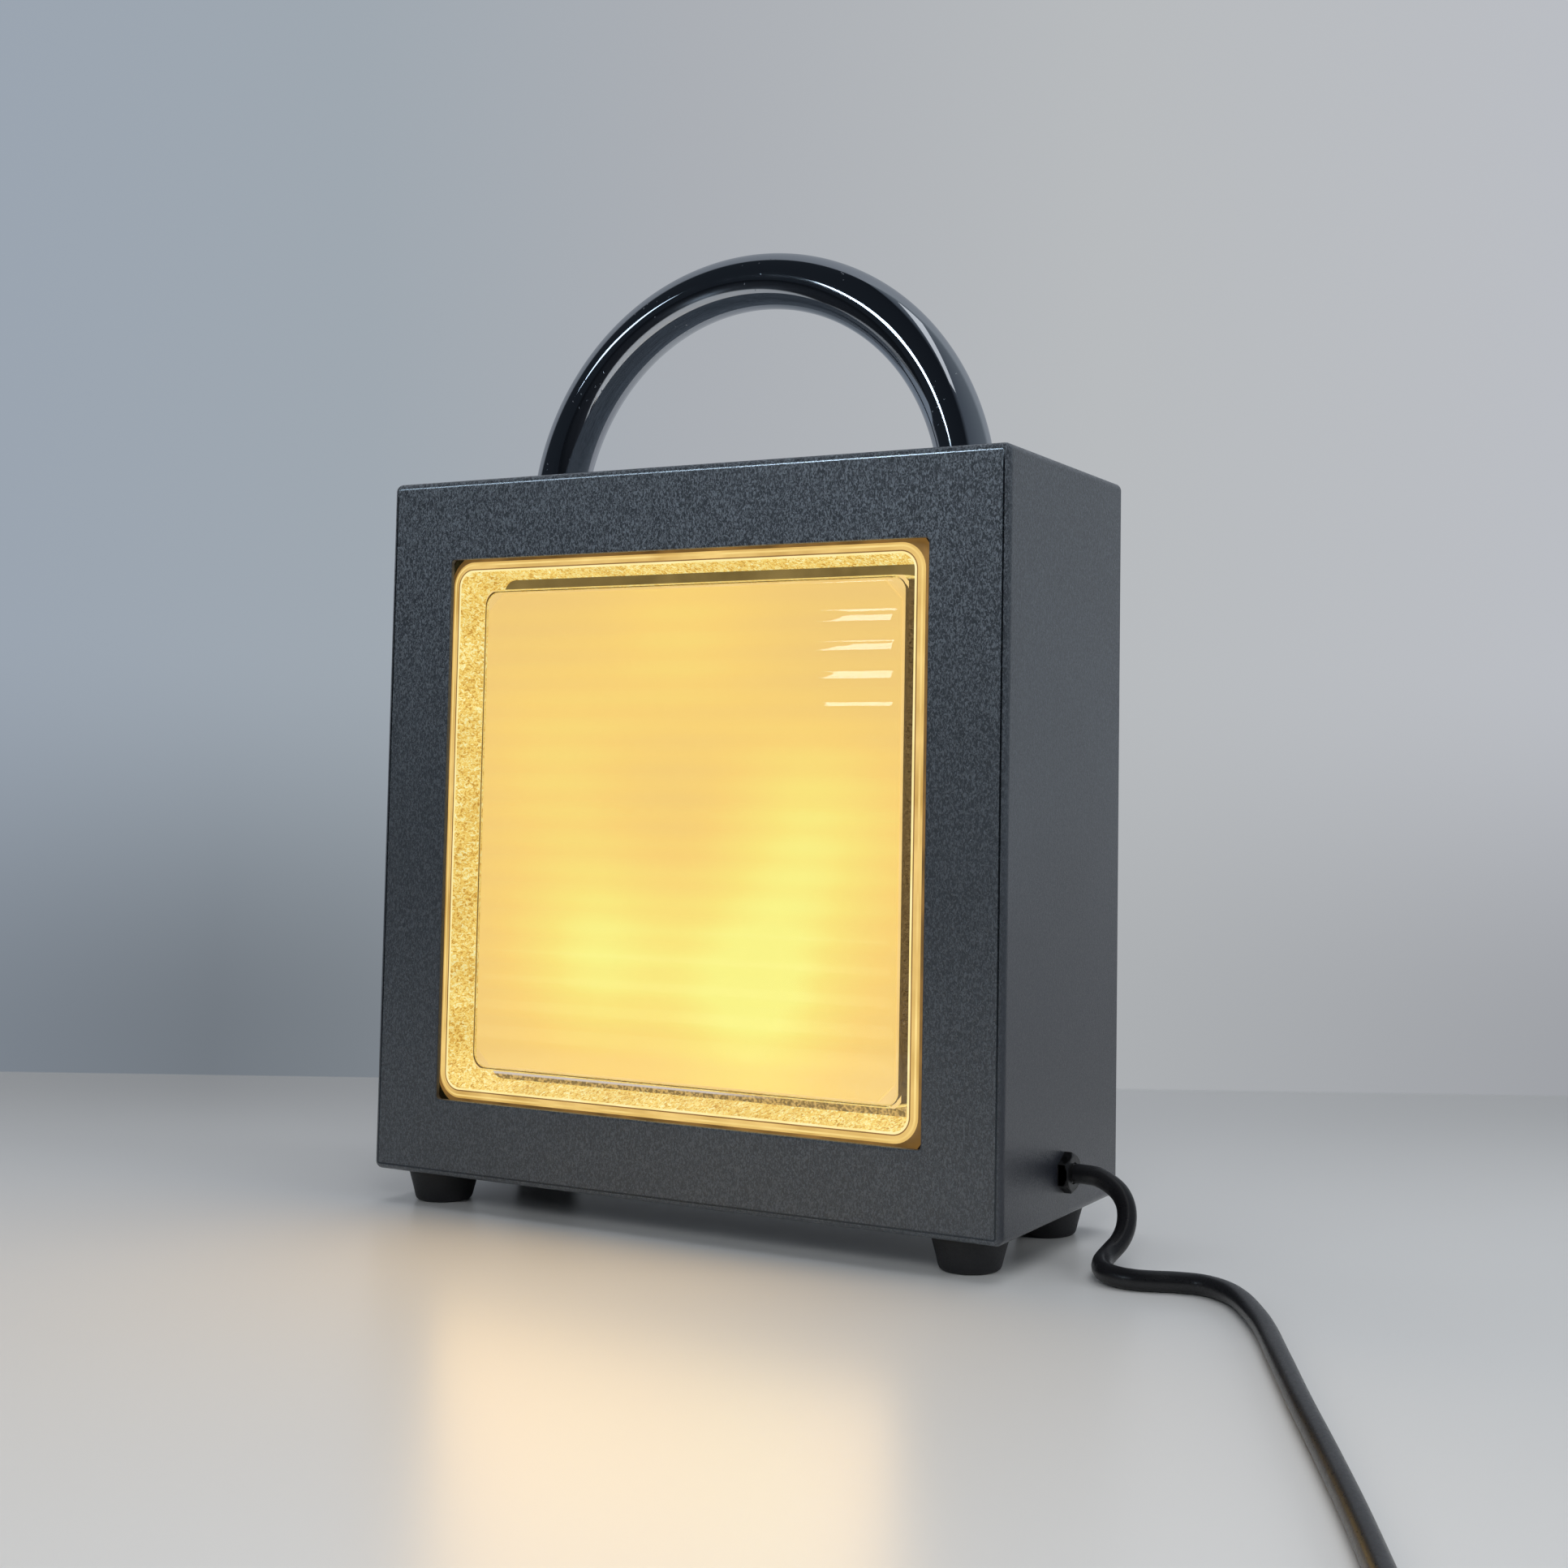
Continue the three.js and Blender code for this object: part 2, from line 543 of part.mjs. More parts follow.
// The in-line switch, drawn along X about its own middle: two shells, a rocker and its contact.
function cordSwitch() {
  const body = new THREE.Group();
  body.position.set(...SWITCH_AT);
  body.rotation.z = SWITCH_TURN;
  lamp.add(body);

  const [length, width, split, top] = [60, 24, 6, 15];
  const wall = 1.5;
  const outline = (inset) => {
    const [x, y, r] = [length / 2 - inset, width / 2 - inset, 9 - inset];
    const shape = new THREE.Shape();
    shape.moveTo(-x + r, -y);
    shape.lineTo(x - r, -y);
    shape.absarc(x - r, -y + r, r, -Math.PI / 2, 0, false);
    shape.absarc(x - r, y - r, r, 0, Math.PI / 2, false);
    shape.absarc(-x + r, y - r, r, Math.PI / 2, Math.PI, false);
    shape.absarc(-x + r, -y + r, r, Math.PI, 1.5 * Math.PI, false);
    return shape;
  };
  const tray = (inset, z0, z1) => {
    const options = { depth: z1 - z0, bevelEnabled: false, curveSegments: 5 };
    return new THREE.ExtrudeGeometry(outline(inset), options).translate(0, 0, z0);
  };
  const cordHole = rod(CORD + GAP, length + 10, 16);
  cordHole.rotateY(Math.PI / 2).translate(-length / 2 - 5, 0, split);
  const posts = [[-19, 6.5], [19, -6.5]];

  const lowerTools = [tray(wall, wall, split + 1), cordHole];
  for (const [x, y] of posts) lowerTools.push(rod(2.4, 1.9, 14).translate(x, y, -1));
  for (const [x, y] of posts) lowerTools.push(rod(1.5, 5, 12).translate(x, y, -1));
  add("switch_lower_shell", cut(tray(0, 0, split), ...lowerTools), plastic, [0, 0, 0], body);

  const pivot = 11.4;
  const rib = (side) => block([-4, 4], side > 0 ? [5.4, 7.2] : [-7.2, -5.4], [9.2, top - 1]);
  const shell = join(
    cut(tray(0, split + GAP, top), tray(wall, split, top - wall), cordHole),
    rib(-1),
    rib(1),
    ...posts.map(([x, y]) => rod(2.6, top - 0.5 - 7, 14).translate(x, y, 7)),
  );
  const pin = (radius, length_) => {
    return rod(radius, length_, 16).rotateX(-Math.PI / 2).translate(0, -length_ / 2, pivot);
  };
  const upperTools = [
    block([-10.2, 10.2], [-5.4, 5.4], [split, top + 1]),
    pin(PIVOT + 0.1, 16),
    ...posts.map(([x, y]) => rod(1.4, 7, 12).translate(x, y, 5)),
  ];
  add("switch_upper_shell", cut(shell, ...upperTools), plastic, [0, 0, 0], body);

  const side = new THREE.Shape();
  side.moveTo(-8.6, -2.5);
  side.lineTo(8.6, -2.5);
  side.lineTo(8.6, 4.9);
  side.lineTo(0, 3.6);
  side.lineTo(-8.6, 4.9);
  const cap = new THREE.ExtrudeGeometry(side, { depth: 10, bevelEnabled: false });
  cap.rotateX(Math.PI / 2).translate(0, 5, 0);
  const stub = rod(PIVOT, 13.6, 16).rotateX(-Math.PI / 2).translate(0, -6.8, 0);
  const rocker = add("switch_rocker", join(cap, stub), plastic, [0, 0, pivot], body);
  rocker.rotation.y = THREE.MathUtils.degToRad(8);

  posts.forEach(([x, y], i) => {
    add(`switch_screw_${i + 1}`, screw(2.1, 0.5, 1.1, 9.5, 12), zinc, [x, y, 0.3], body);
  });
  const contact = block([-6, 6], [-2.5, 2.5], [wall + GAP, wall + GAP + 1]);
  add("switch_contact", contact, brass, [0, 0, 0], body);
}

// The flat plug lies on the table with its pins pointing away from the coil.
function plug() {
  const [face, tail, thickness] = [13, 5.5, 13.6];
  const bevel = 1.6;
  const shape = new THREE.Shape();
  shape.moveTo(bevel, -tail + bevel);
  for (const [x, y] of [[8, -tail], [16, -face], [36, -face], [36, face], [16, face], [8, tail]]) {
    const inset = x === 36 ? 36 - bevel : x;
    shape.lineTo(inset, y - Math.sign(y) * bevel);
  }
  shape.lineTo(bevel, tail - bevel);
  const body = new THREE.ExtrudeGeometry(shape, {
    depth: thickness - 2 * bevel,
    bevelSize: bevel,
    bevelThickness: bevel,
    bevelSegments: 2,
  });
  const group = new THREE.Group();
  group.position.set(203, -366, 0);
  group.rotation.z = Math.PI;
  lamp.add(group);
  const middle = 7;
  add("plug_body", body.translate(0, 0, middle - thickness / 2 + bevel), plastic, [0, 0, 0], group);
  for (const [i, y] of [[1, -9.3], [2, 9.3]]) {
    const pin = rod(2, 19, 14).rotateY(Math.PI / 2);
    add(`plug_pin_${i}`, pin, brass, [36 + GAP, y, middle], group);
  }
}

add("front_shell", frontShell(), steel);
add("rear_cover", rearCover(), steel);
const coverScrew = screw(2.7, 1.3, 1.3, 4, 14).rotateX(Math.PI / 2);
coverScrewPlaces.forEach(([x, z], i) => {
  const place = [x * COVER_SCREW, COVER_REAR + GAP + 1.3, MIDDLE + z * COVER_SCREW];
  add(`cover_screw_${i + 1}`, coverScrew, zinc, place);
});
add("window_gasket", gasket(), foam, [GLASS_SHIFT, 0, -WINDOW_DROP]);
const half = glassHalf();
const turnedHalf = half.clone().rotateZ(Math.PI);
add("glass_block_front", half, glass, [GLASS_SHIFT, 0, -WINDOW_DROP]);
add("glass_block_rear", turnedHalf, glass, [GLASS_SHIFT, 2 * SEAM, -WINDOW_DROP]);
add("diffuser_sheet", diffuser(), opal, [GLASS_SHIFT, 0, -WINDOW_DROP]);
[[1, 60], [1, -60], [-1, 60], [-1, -60]].forEach(([side, z], i) => {
  const geometry = bracket();
  if (side < 0) {
    // The left-hand bracket is the same piece the other way up.
    geometry.rotateY(Math.PI);
  }
  add(`block_bracket_${i + 1}`, geometry, zinc, [0, 0, MIDDLE + z]);
});
light();
electronics();
add("handle", handle(), chrome);
handleFixings();
feet();
gland();
cords();
cordSwitch();
plug();

export default lamp;
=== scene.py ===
"""The looks of a glass block table lamp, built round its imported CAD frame.

The scene is in metres with +Z up, and the lamp's front faces -Y. The shapes are worked out in
millimetres, as in the CAD, and made metres when their meshes are built."""

import math

import bmesh
import bpy
from mathutils import Matrix, Vector

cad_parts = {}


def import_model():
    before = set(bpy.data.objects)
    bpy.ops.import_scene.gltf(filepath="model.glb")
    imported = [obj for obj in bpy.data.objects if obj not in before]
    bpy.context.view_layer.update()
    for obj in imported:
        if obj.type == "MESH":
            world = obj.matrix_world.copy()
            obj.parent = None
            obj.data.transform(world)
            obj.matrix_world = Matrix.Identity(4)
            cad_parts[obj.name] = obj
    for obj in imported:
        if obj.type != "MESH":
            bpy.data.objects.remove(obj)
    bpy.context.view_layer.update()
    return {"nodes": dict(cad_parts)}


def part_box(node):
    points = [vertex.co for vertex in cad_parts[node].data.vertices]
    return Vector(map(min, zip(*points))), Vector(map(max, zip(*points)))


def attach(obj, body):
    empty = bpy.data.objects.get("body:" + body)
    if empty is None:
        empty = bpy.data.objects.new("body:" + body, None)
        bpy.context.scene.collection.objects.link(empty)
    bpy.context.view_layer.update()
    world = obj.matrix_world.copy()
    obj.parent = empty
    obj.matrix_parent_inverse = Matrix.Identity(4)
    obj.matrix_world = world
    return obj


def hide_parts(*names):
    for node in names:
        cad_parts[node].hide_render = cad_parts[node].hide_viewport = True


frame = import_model()
MM = 0.001
IMAGE = 1932  # side of the square picture that the lens shift is worked out for


# Camera

EYE = Vector((0.3623, -0.5894, 0.1426))
YAW, PITCH, ROLL = (math.radians(a) for a in (27.49, 3.68, 0.88))
AHEAD = Vector((-math.sin(YAW), math.cos(YAW), 0))
ASIDE = Vector((math.cos(YAW), math.sin(YAW), 0))


def make_camera():
    focal, centre_x, centre_y = 2505.5, 1099.5, 811.6  # in pixels of the picture
    forward = AHEAD * math.cos(PITCH) + Vector((0, 0, math.sin(PITCH)))
    upright = ASIDE.cross(forward)
    right = math.cos(ROLL) * ASIDE + math.sin(ROLL) * upright
    up = -math.sin(ROLL) * ASIDE + math.cos(ROLL) * upright
    data = bpy.data.cameras.new("camera")
    data.sensor_width = 36
    data.lens = 36 * focal / IMAGE
    data.shift_x = (IMAGE / 2 - centre_x) / IMAGE
    data.shift_y = (centre_y - IMAGE / 2) / IMAGE
    data.clip_start, data.clip_end = 0.01, 50
    camera = bpy.data.objects.new("camera", data)
    bpy.context.scene.collection.objects.link(camera)
    turn = Matrix((right, up, -forward)).transposed().to_4x4()
    camera.matrix_world = Matrix.Translation(EYE) @ turn
    bpy.context.scene.camera = camera


make_camera()


# Materials


class Nodes:
    """A material's or world's nodes, with short ways to add and link them."""

    def __init__(self, name, world=None):
        if world:
            self.tree = world.node_tree
            self.shader = self.tree.nodes["Background"]
        else:
            self.material = bpy.data.materials.new(name)
            self.material.use_nodes = True
            self.tree = self.material.node_tree
            self.shader = self.tree.nodes["Principled BSDF"]
            self.output = self.tree.nodes["Material Output"]
        kind = "Generated" if world else "Object"
        self.place = self.add("ShaderNodeTexCoord").outputs[kind]

    def add(self, kind, inputs=None, **settings):
        node = self.tree.nodes.new(kind)
        for key, value in settings.items():
            setattr(node, key, value)
        for key, value in (inputs or {}).items():
            self.put(node, key, value)
        return node

    def put(self, node, key, value):
        self.put_socket(node.inputs[key], value)

    def put_socket(self, socket, value):
        if isinstance(value, bpy.types.NodeSocket):
            self.tree.links.new(value, socket)
        else:
            socket.default_value = value

    def set(self, **values):
        """Sets the shader's inputs, with underscores for the spaces in their names."""
        for key, value in values.items():
            self.put(self.shader, key.replace("_", " "), value)

    def noise(self, scale, detail=3, roughness=0.5, vector=None, distortion=0):
        sockets = {
            "Vector": vector or self.place,
            "Scale": scale,
            "Detail": detail,
            "Roughness": roughness,
            "Distortion": distortion,
        }
        return self.add("ShaderNodeTexNoise", sockets).outputs["Fac"]

    def ramp(self, value, *stops):
        """A colour ramp through (position, colour or grey level) stops."""
        node = self.add("ShaderNodeValToRGB", {"Fac": value})
        elements = node.color_ramp.elements
        while len(elements) < len(stops):
            elements.new(0.5)
        for element, (position, colour) in zip(elements, stops, strict=True):
            element.position = position
            element.color = (*colour, 1) if isinstance(colour, tuple) else (*(3 * [colour]), 1)
        return node.outputs["Color"]

    def math(self, operation, a, b=0.0, c=0.0):
        node = self.add("ShaderNodeMath", operation=operation)
        for socket, value in zip(node.inputs, (a, b, c), strict=True):
            self.put_socket(socket, value)
        return node.outputs[0]

    def mix(self, factor, a, b, blend="MIX"):
        node = self.add("ShaderNodeMix", data_type="RGBA", blend_type=blend)
        for index, value in ((0, factor), (6, a), (7, b)):  # the colour mix's own sockets
            value = (*value, 1) if isinstance(value, tuple) else value
            self.put_socket(node.inputs[index], value)
        return node.outputs[2]

    def bump(self, height, distance, strength=1.0, normal=None):
        sockets = {"Height": height, "Distance": distance, "Strength": strength}
        if normal:
            sockets["Normal"] = normal
        return self.add("ShaderNodeBump", sockets).outputs["Normal"]

    def between(self, value, low, high):
        """0 on low's side and 1 on high's, eased in between."""
        sockets = {"Value": value, "From Min": low, "From Max": high}
        node = self.add("ShaderNodeMapRange", sockets, interpolation_type="SMOOTHSTEP")
        return node.outputs["Result"]

    def vector(self, operation, a, b=None):
        node = self.add("ShaderNodeVectorMath", {0: a}, operation=operation)
        if b is not None:
            self.put(node, 1, b)
        return node.outputs["Value" if operation in ("DOT_PRODUCT", "LENGTH", "DISTANCE") else 0]

    def split(self, vector=None):
        node = self.add("ShaderNodeSeparateXYZ", {"Vector": vector or self.place})
        return [node.outputs[k] for k in "XYZ"]


def srgb(r, g, b):
    """A colour given as 0 to 255 display values, made linear."""
    return tuple(
        c / 255 / 12.92 if c <= 10 else ((c / 255 + 0.055) / 1.055) ** 2.4 for c in (r, g, b)
    )


def powder_coat():
    """Grey texture paint. Its fleck carries painted sparkle, strongest towards the top and weakest
    on the sides, and the sides carry painted shade, darker towards their foot.
    """
    n = Nodes("powder_coat")
    drawn = n.vector("MULTIPLY", n.place, (1.15, 1.15, 0.62))
    peel = n.noise(1450, 2.5, 0.6, drawn, distortion=1.2)
    fine = n.noise(2600, 2, 0.6)
    broad = n.noise(14, 3, 0.5)
    fleck = n.ramp(peel, (0.46, srgb(48, 53, 60)), (0.6, srgb(134, 144, 154)))
    tone = n.ramp(broad, (0.3, srgb(61, 66, 72)), (0.7, srgb(69, 75, 82)))
    facing = n.add("ShaderNodeNewGeometry").outputs["True Normal"]
    folded = n.math("ABSOLUTE", n.split(facing)[0])
    # painted sparkle: the fleck's contrast is raised towards the top and cut on the sides, where
    # the light catches it least
    upper = n.between(n.split()[2], 0.11, 0.235)
    grain = n.math("MULTIPLY_ADD", upper, 0.48, 0.28)
    grain = n.math("MULTIPLY", grain, n.math("MULTIPLY_ADD", folded, -0.7, 1.0))
    # painted shade: the sides are darkened towards the box's foot
    foot = n.math("MULTIPLY", folded, n.between(n.split()[2], 0.16, 0.03))
    bumps = n.bump(fine, 0.00002, 0.5, n.bump(peel, 0.0002, 0.85))
    n.set(
        Base_Color=n.mix(foot, n.mix(grain, tone, fleck), srgb(42, 45, 53)),
        Metallic=0.3,
        Roughness=n.ramp(fine, (0.3, 0.4), (0.7, 0.55)),
        Coat_Weight=0.8,
        Coat_Roughness=0.17,
        Coat_Normal=bumps,
        Normal=bumps,
    )
    return n.material


def fold_paint_highlight():
    """The same paint on the start of the fold, made mirror-like, with a painted highlight:
    near-white along the top fold.
    """
    n = Nodes("fold_paint_highlight")
    grain = n.noise(700, 3)
    bright = n.ramp(grain, (0.35, srgb(186, 194, 200)), (0.65, srgb(222, 230, 236)))
    # painted highlight: the fold paint is near-white only along the top
    top = n.between(n.split()[2], 0.240, 0.243)
    n.set(
        Base_Color=n.mix(top, srgb(66, 72, 79), bright),
        Metallic=0.95,
        Roughness=n.ramp(grain, (0.3, 0.2), (0.7, 0.3)),
        Normal=n.bump(grain, 0.00002, 0.4),
    )
    return n.material


def chrome():
    """Mirror chrome, faintly smudged, with pits in patches."""
    n = Nodes("chrome")
    smudge = n.noise(60, 4, 0.6)
    pits = n.add("ShaderNodeTexVoronoi", {"Vector": n.place, "Scale": 420.0}).outputs["Distance"]
    patch = n.ramp(n.noise(38, 2), (0.58, 0.0), (0.66, 1.0))
    pit = n.math("MULTIPLY", n.ramp(pits, (0.06, 1.0), (0.13, 0.0)), patch)
    n.set(
        Base_Color=srgb(186, 191, 198) + (1,),
        Metallic=1,
        Roughness=n.ramp(smudge, (0.35, 0.025), (0.75, 0.07)),
        Normal=n.bump(pit, 0.0002, 0.8),
    )
    return n.material


def rubber():
    n = Nodes("black_rubber")
    grain = n.noise(1800, 3)
    n.set(
        Base_Color=n.ramp(n.noise(90, 3), (0.3, srgb(20, 20, 23)), (0.7, srgb(30, 30, 33))),
        Roughness=n.ramp(grain, (0.3, 0.5), (0.7, 0.66)),
        Normal=n.bump(grain, 0.00003, 0.5),
    )
    return n.material


def cord_sheath():
    n = Nodes("cord_sheath")
    grain = n.noise(1300, 3)
    n.set(
        Base_Color=n.ramp(n.noise(50, 3), (0.3, srgb(17, 17, 19)), (0.7, srgb(27, 27, 29))),
        Roughness=n.ramp(grain, (0.3, 0.26), (0.7, 0.38)),
        Normal=n.bump(grain, 0.00003, 0.4),
    )
    return n.material


def nylon(name="black_nylon", low=14, high=22, rough=0.3):
    n = Nodes(name)
    grain = n.noise(2200, 2)
    dark, light = srgb(low, low, low + 1), srgb(high, high, high + 1)
    n.set(
        Base_Color=n.ramp(n.noise(120, 3), (0.3, dark), (0.7, light)),
        Roughness=n.ramp(grain, (0.3, rough), (0.7, rough + 0.12)),
        Normal=n.bump(grain, 0.00002, 0.5),
    )
    return n.material


def zinc():
    n = Nodes("zinc_plate")
    grain = n.noise(900, 4, 0.6)
    n.set(
        Base_Color=n.ramp(n.noise(160, 3), (0.3, srgb(166, 168, 170)), (0.7, srgb(196, 197, 196))),
        Metallic=1,
        Roughness=n.ramp(grain, (0.3, 0.26), (0.7, 0.42)),
        Normal=n.bump(grain, 0.00002, 0.4),
    )
    return n.material


def brass():
    n = Nodes("brass")
    grain = n.noise(1200, 3)
    n.set(
        Base_Color=n.ramp(n.noise(200, 3), (0.3, srgb(196, 160, 84)), (0.7, srgb(214, 180, 104))),
        Metallic=1,
        Roughness=n.ramp(grain, (0.3, 0.2), (0.7, 0.34)),
        Normal=n.bump(grain, 0.00001, 0.4),
    )
    return n.material


def plain(name, low, high, rough):
    """A slightly mottled matt surface, for the pieces inside the box."""
    n = Nodes(name)
    grain = n.noise(300, 3)
    n.set(
        Base_Color=n.ramp(grain, (0.3, srgb(*low)), (0.7, srgb(*high))),
        Roughness=n.ramp(grain, (0.3, rough), (0.7, min(rough + 0.12, 1.0))),
        Normal=n.bump(grain, 0.00003, 0.4),
    )
    return n.material


def pressed_glass():
    n = Nodes("pressed_glass")
    ripple = n.noise(55, 2)
    n.set(
        Base_Color=(0.97, 0.95, 0.88, 1),
        Roughness=n.ramp(n.noise(400, 2), (0.3, 0.0), (0.7, 0.015)),
        IOR=1.5,
        Transmission_Weight=1,
        Normal=n.bump(ripple, 0.00012, 0.35),
    )
    return n.material


def stippled_side():
    """The block's sand-textured sides, seen glowing through the clear glass in front of them. The
    right side's glow is painted darker, as shade.
    """
    n = Nodes("stippled_side")
    deep = n.vector("MULTIPLY", n.place, (1.0, 0.34, 1.0))  # grains drawn out backwards
    grit = n.noise(980, 4, 0.66, deep, distortion=1.2)
    cloud = n.noise(90, 3, vector=deep)
    glow = n.ramp(
        grit,
        (0.37, srgb(196, 148, 66)),
        (0.45, srgb(240, 198, 100)),
        (0.53, srgb(255, 228, 130)),
        (0.63, srgb(255, 255, 202)),
    )
    toned = n.mix(0.35, glow, n.ramp(cloud, (0.35, srgb(206, 180, 120)), (0.7, 1.0)), "MULTIPLY")
    right = n.between(n.split()[0], 0.076, 0.08)  # painted shade: the right side's glow is drawn darker, as it is seen edge-on there
    painted_shade_colour = n.ramp(grit, (0.35, srgb(58, 44, 28)), (0.65, srgb(116, 96, 64)))
    n.set(
        Base_Color=(0.1, 0.08, 0.04, 1),
        Roughness=0.5,
        Emission_Color=n.mix(right, toned, painted_shade_colour),
        Emission_Strength=1.0,
        Normal=n.bump(grit, 0.0003, 0.7),
    )
    return n.material


# The bright patches of the diffuser: X and Z from the glass's middle, and strength
LAMPS = [(51, 0, 0.72), (30, -50, 1.0), (-32, -40, 0.85), (-49, 24, 0.36), (1, 62, 0.36)]
GLASS_MIDDLE = (-1.8, 127.4)  # of the block, in X and Z
FLUTE = 9.37 * MM  # height of each flute pressed into the glass


def diffuser_glow():
    """Light from five LED modules, spread by the opal sheet."""
    n = Nodes("diffuser_glow")
    flat = n.vector("MULTIPLY", n.place, (1.0, 0.0, 1.0))
    spread, base = 0.034, 2.718
    total = 0.0
    for x, z, power in LAMPS:
        centre = ((x + GLASS_MIDDLE[0]) * MM, 0, (z + GLASS_MIDDLE[1]) * MM)
        near = n.math("DIVIDE", n.vector("DISTANCE", flat, centre), spread)
        bell = n.math("POWER", base, n.math("MULTIPLY", n.math("MULTIPLY", near, near), -1.0))
        total = n.math("ADD", n.math("MULTIPLY", bell, power), total)
    _, _, height = n.split()
    # painted refraction: the glow rises and falls at the flutes' pitch, standing in for the flutes
    # bending its light
    wave = n.math("SINE", n.math("MULTIPLY", height, 2 * math.pi / FLUTE))
    total = n.math("ADD", total, n.math("MULTIPLY", wave, 0.04))
    total = n.math("ADD", total, n.math("MULTIPLY", n.noise(22, 2), 0.12))
    glow = n.ramp(
        total,
        (0.0, srgb(243, 206, 130)),
        (0.35, srgb(254, 217, 126)),
        (0.75, srgb(255, 236, 132)),
        (1.0, srgb(255, 252, 145)),
    )
    n.set(
        Base_Color=(0.3, 0.24, 0.12, 1),
        Roughness=0.6,
        Emission_Color=glow,
        Emission_Strength=1.0,
    )
    return n.material


def lit_film(name, low, high, scale=70):
    """A surface that glows between two colours, in soft patches."""
    n = Nodes(name)
    cloud = n.noise(scale, 3)
    n.set(
        Base_Color=(0.08, 0.06, 0.03, 1),
        Roughness=0.6,
        Emission_Color=n.ramp(cloud, (0.3, srgb(*low)), (0.7, srgb(*high))),
        Emission_Strength=1.0,
    )
    return n.material


def seam_glow():
    """The block's seam: olive along the top, and a pale line and grains along the foot."""
    n = Nodes("seam_glow")
    x, _, z = n.split()
    olive = n.ramp(n.noise(60, 3), (0.3, srgb(92, 78, 44)), (0.7, srgb(128, 110, 66)))
    grains = n.ramp(n.noise(1100, 3), (0.42, srgb(124, 102, 58)), (0.6, srgb(208, 172, 102)))
    foot = n.between(z, 0.06, 0.05)
    line = n.math("MULTIPLY", n.between(z, 0.0422, 0.0427), n.between(x, 0.03, 0.0))
    lower = n.mix(line, grains, srgb(206, 196, 190))
    n.set(
        Base_Color=(0.04, 0.03, 0.02, 1),
        Roughness=0.6,
        Emission_Color=n.mix(foot, olive, lower),
        Emission_Strength=1.0,
    )
    return n.material


POWDER = powder_coat()
FOLD_PAINT_HIGHLIGHT = fold_paint_highlight()
CHROME = chrome()
RUBBER = rubber()
SHEATH = cord_sheath()
NYLON = nylon()
ZINC = zinc()
BRASS = brass()
GLASS = pressed_glass()
STIPPLE = stippled_side()
SEAM_GLOW = seam_glow()
# Painted light on the glass's rounded edge: these glowing strips are painted highlights (light,
# pale), painted shade (dark, black) and painted refracted glow (gold), where the clear edge bends
# and mirrors the lamp's light.
RIM_PAINTED_HIGHLIGHT = lit_film("rim_painted_highlight", (255, 226, 140), (255, 242, 182))
RIM_PAINTED_SHADE = lit_film("rim_painted_shade", (104, 70, 28), (150, 104, 46))
RIM_PAINTED_GOLD = lit_film("rim_painted_gold", (192, 150, 72), (246, 208, 126), 46)
RIM_PAINTED_PALE_HIGHLIGHT = lit_film("rim_painted_pale_highlight", (226, 186, 104), (252, 222, 140), 60)
RIM_PAINTED_DEEP_SHADE = lit_film("rim_painted_deep_shade", (84, 60, 28), (146, 108, 54))
DIFFUSER = diffuser_glow()


# Meshes


def catmull_rom(points, steps=10):
    """Points along a centripetal Catmull-Rom curve through the given ones."""
    route = [Vector(p) for p in points]
    route = [2 * route[0] - route[1], *route, 2 * route[-1] - route[-2]]
    line = []
    for a, b, c, d in zip(route, route[1:], route[2:], route[3:], strict=False):
        t1 = (b - a).length ** 0.5
        t2 = t1 + (c - b).length ** 0.5
        t3 = t2 + (d - c).length ** 0.5
        for i in range(steps):
            t = t1 + (t2 - t1) * i / steps
            ab = a * ((t1 - t) / t1) + b * (t / t1)
            bc = b * ((t2 - t) / (t2 - t1)) + c * ((t - t1) / (t2 - t1))
            cd = c * ((t3 - t) / (t3 - t2)) + d * ((t - t2) / (t3 - t2))
            abc = ab * ((t2 - t) / t2) + bc * (t / t2)
            bcd = bc * ((t3 - t) / (t3 - t1)) + cd * ((t - t1) / (t3 - t1))
            line.append(abc * ((t2 - t) / (t2 - t1)) + bcd * ((t - t1) / (t2 - t1)))
    return [*line, route[-2]]


def finish_piece(piece, replaced=(), smooth=None):
    """Puts a piece in the scene, shades it, hangs it on the lamp's body and hides the CAD nodes it
    replaces.
    """
    bpy.context.scene.collection.objects.link(piece)
    if smooth is not None:
        shade(piece.data, smooth)
    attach(piece, "lamp")
    if replaced:
        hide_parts(*replaced)


def shade(mesh, degrees):
    """Smooth shading, with edges sharper than this left crisp."""
    work = bmesh.new()
    work.from_mesh(mesh)
    for face in work.faces:
        face.smooth = True
    for edge in work.edges:
        if len(edge.link_faces) == 2:
            edge.smooth = edge.calc_face_angle(0) < math.radians(degrees)
    work.to_mesh(mesh)
    work.free()


def mesh_object(name, points, faces, materials, indices):
    """An object from points in millimetres, with its faces turned outwards."""
    mesh = bpy.data.meshes.new(name)
    mesh.from_pydata([Vector(p) * MM for p in points], [], faces)
    for material in materials:
        mesh.materials.append(material)
    mesh.polygons.foreach_set("material_index", indices)
    work = bmesh.new()
    work.from_mesh(mesh)
    bmesh.ops.recalc_face_normals(work, faces=work.faces)
    work.to_mesh(mesh)
    work.free()
    return bpy.data.objects.new(name, mesh)


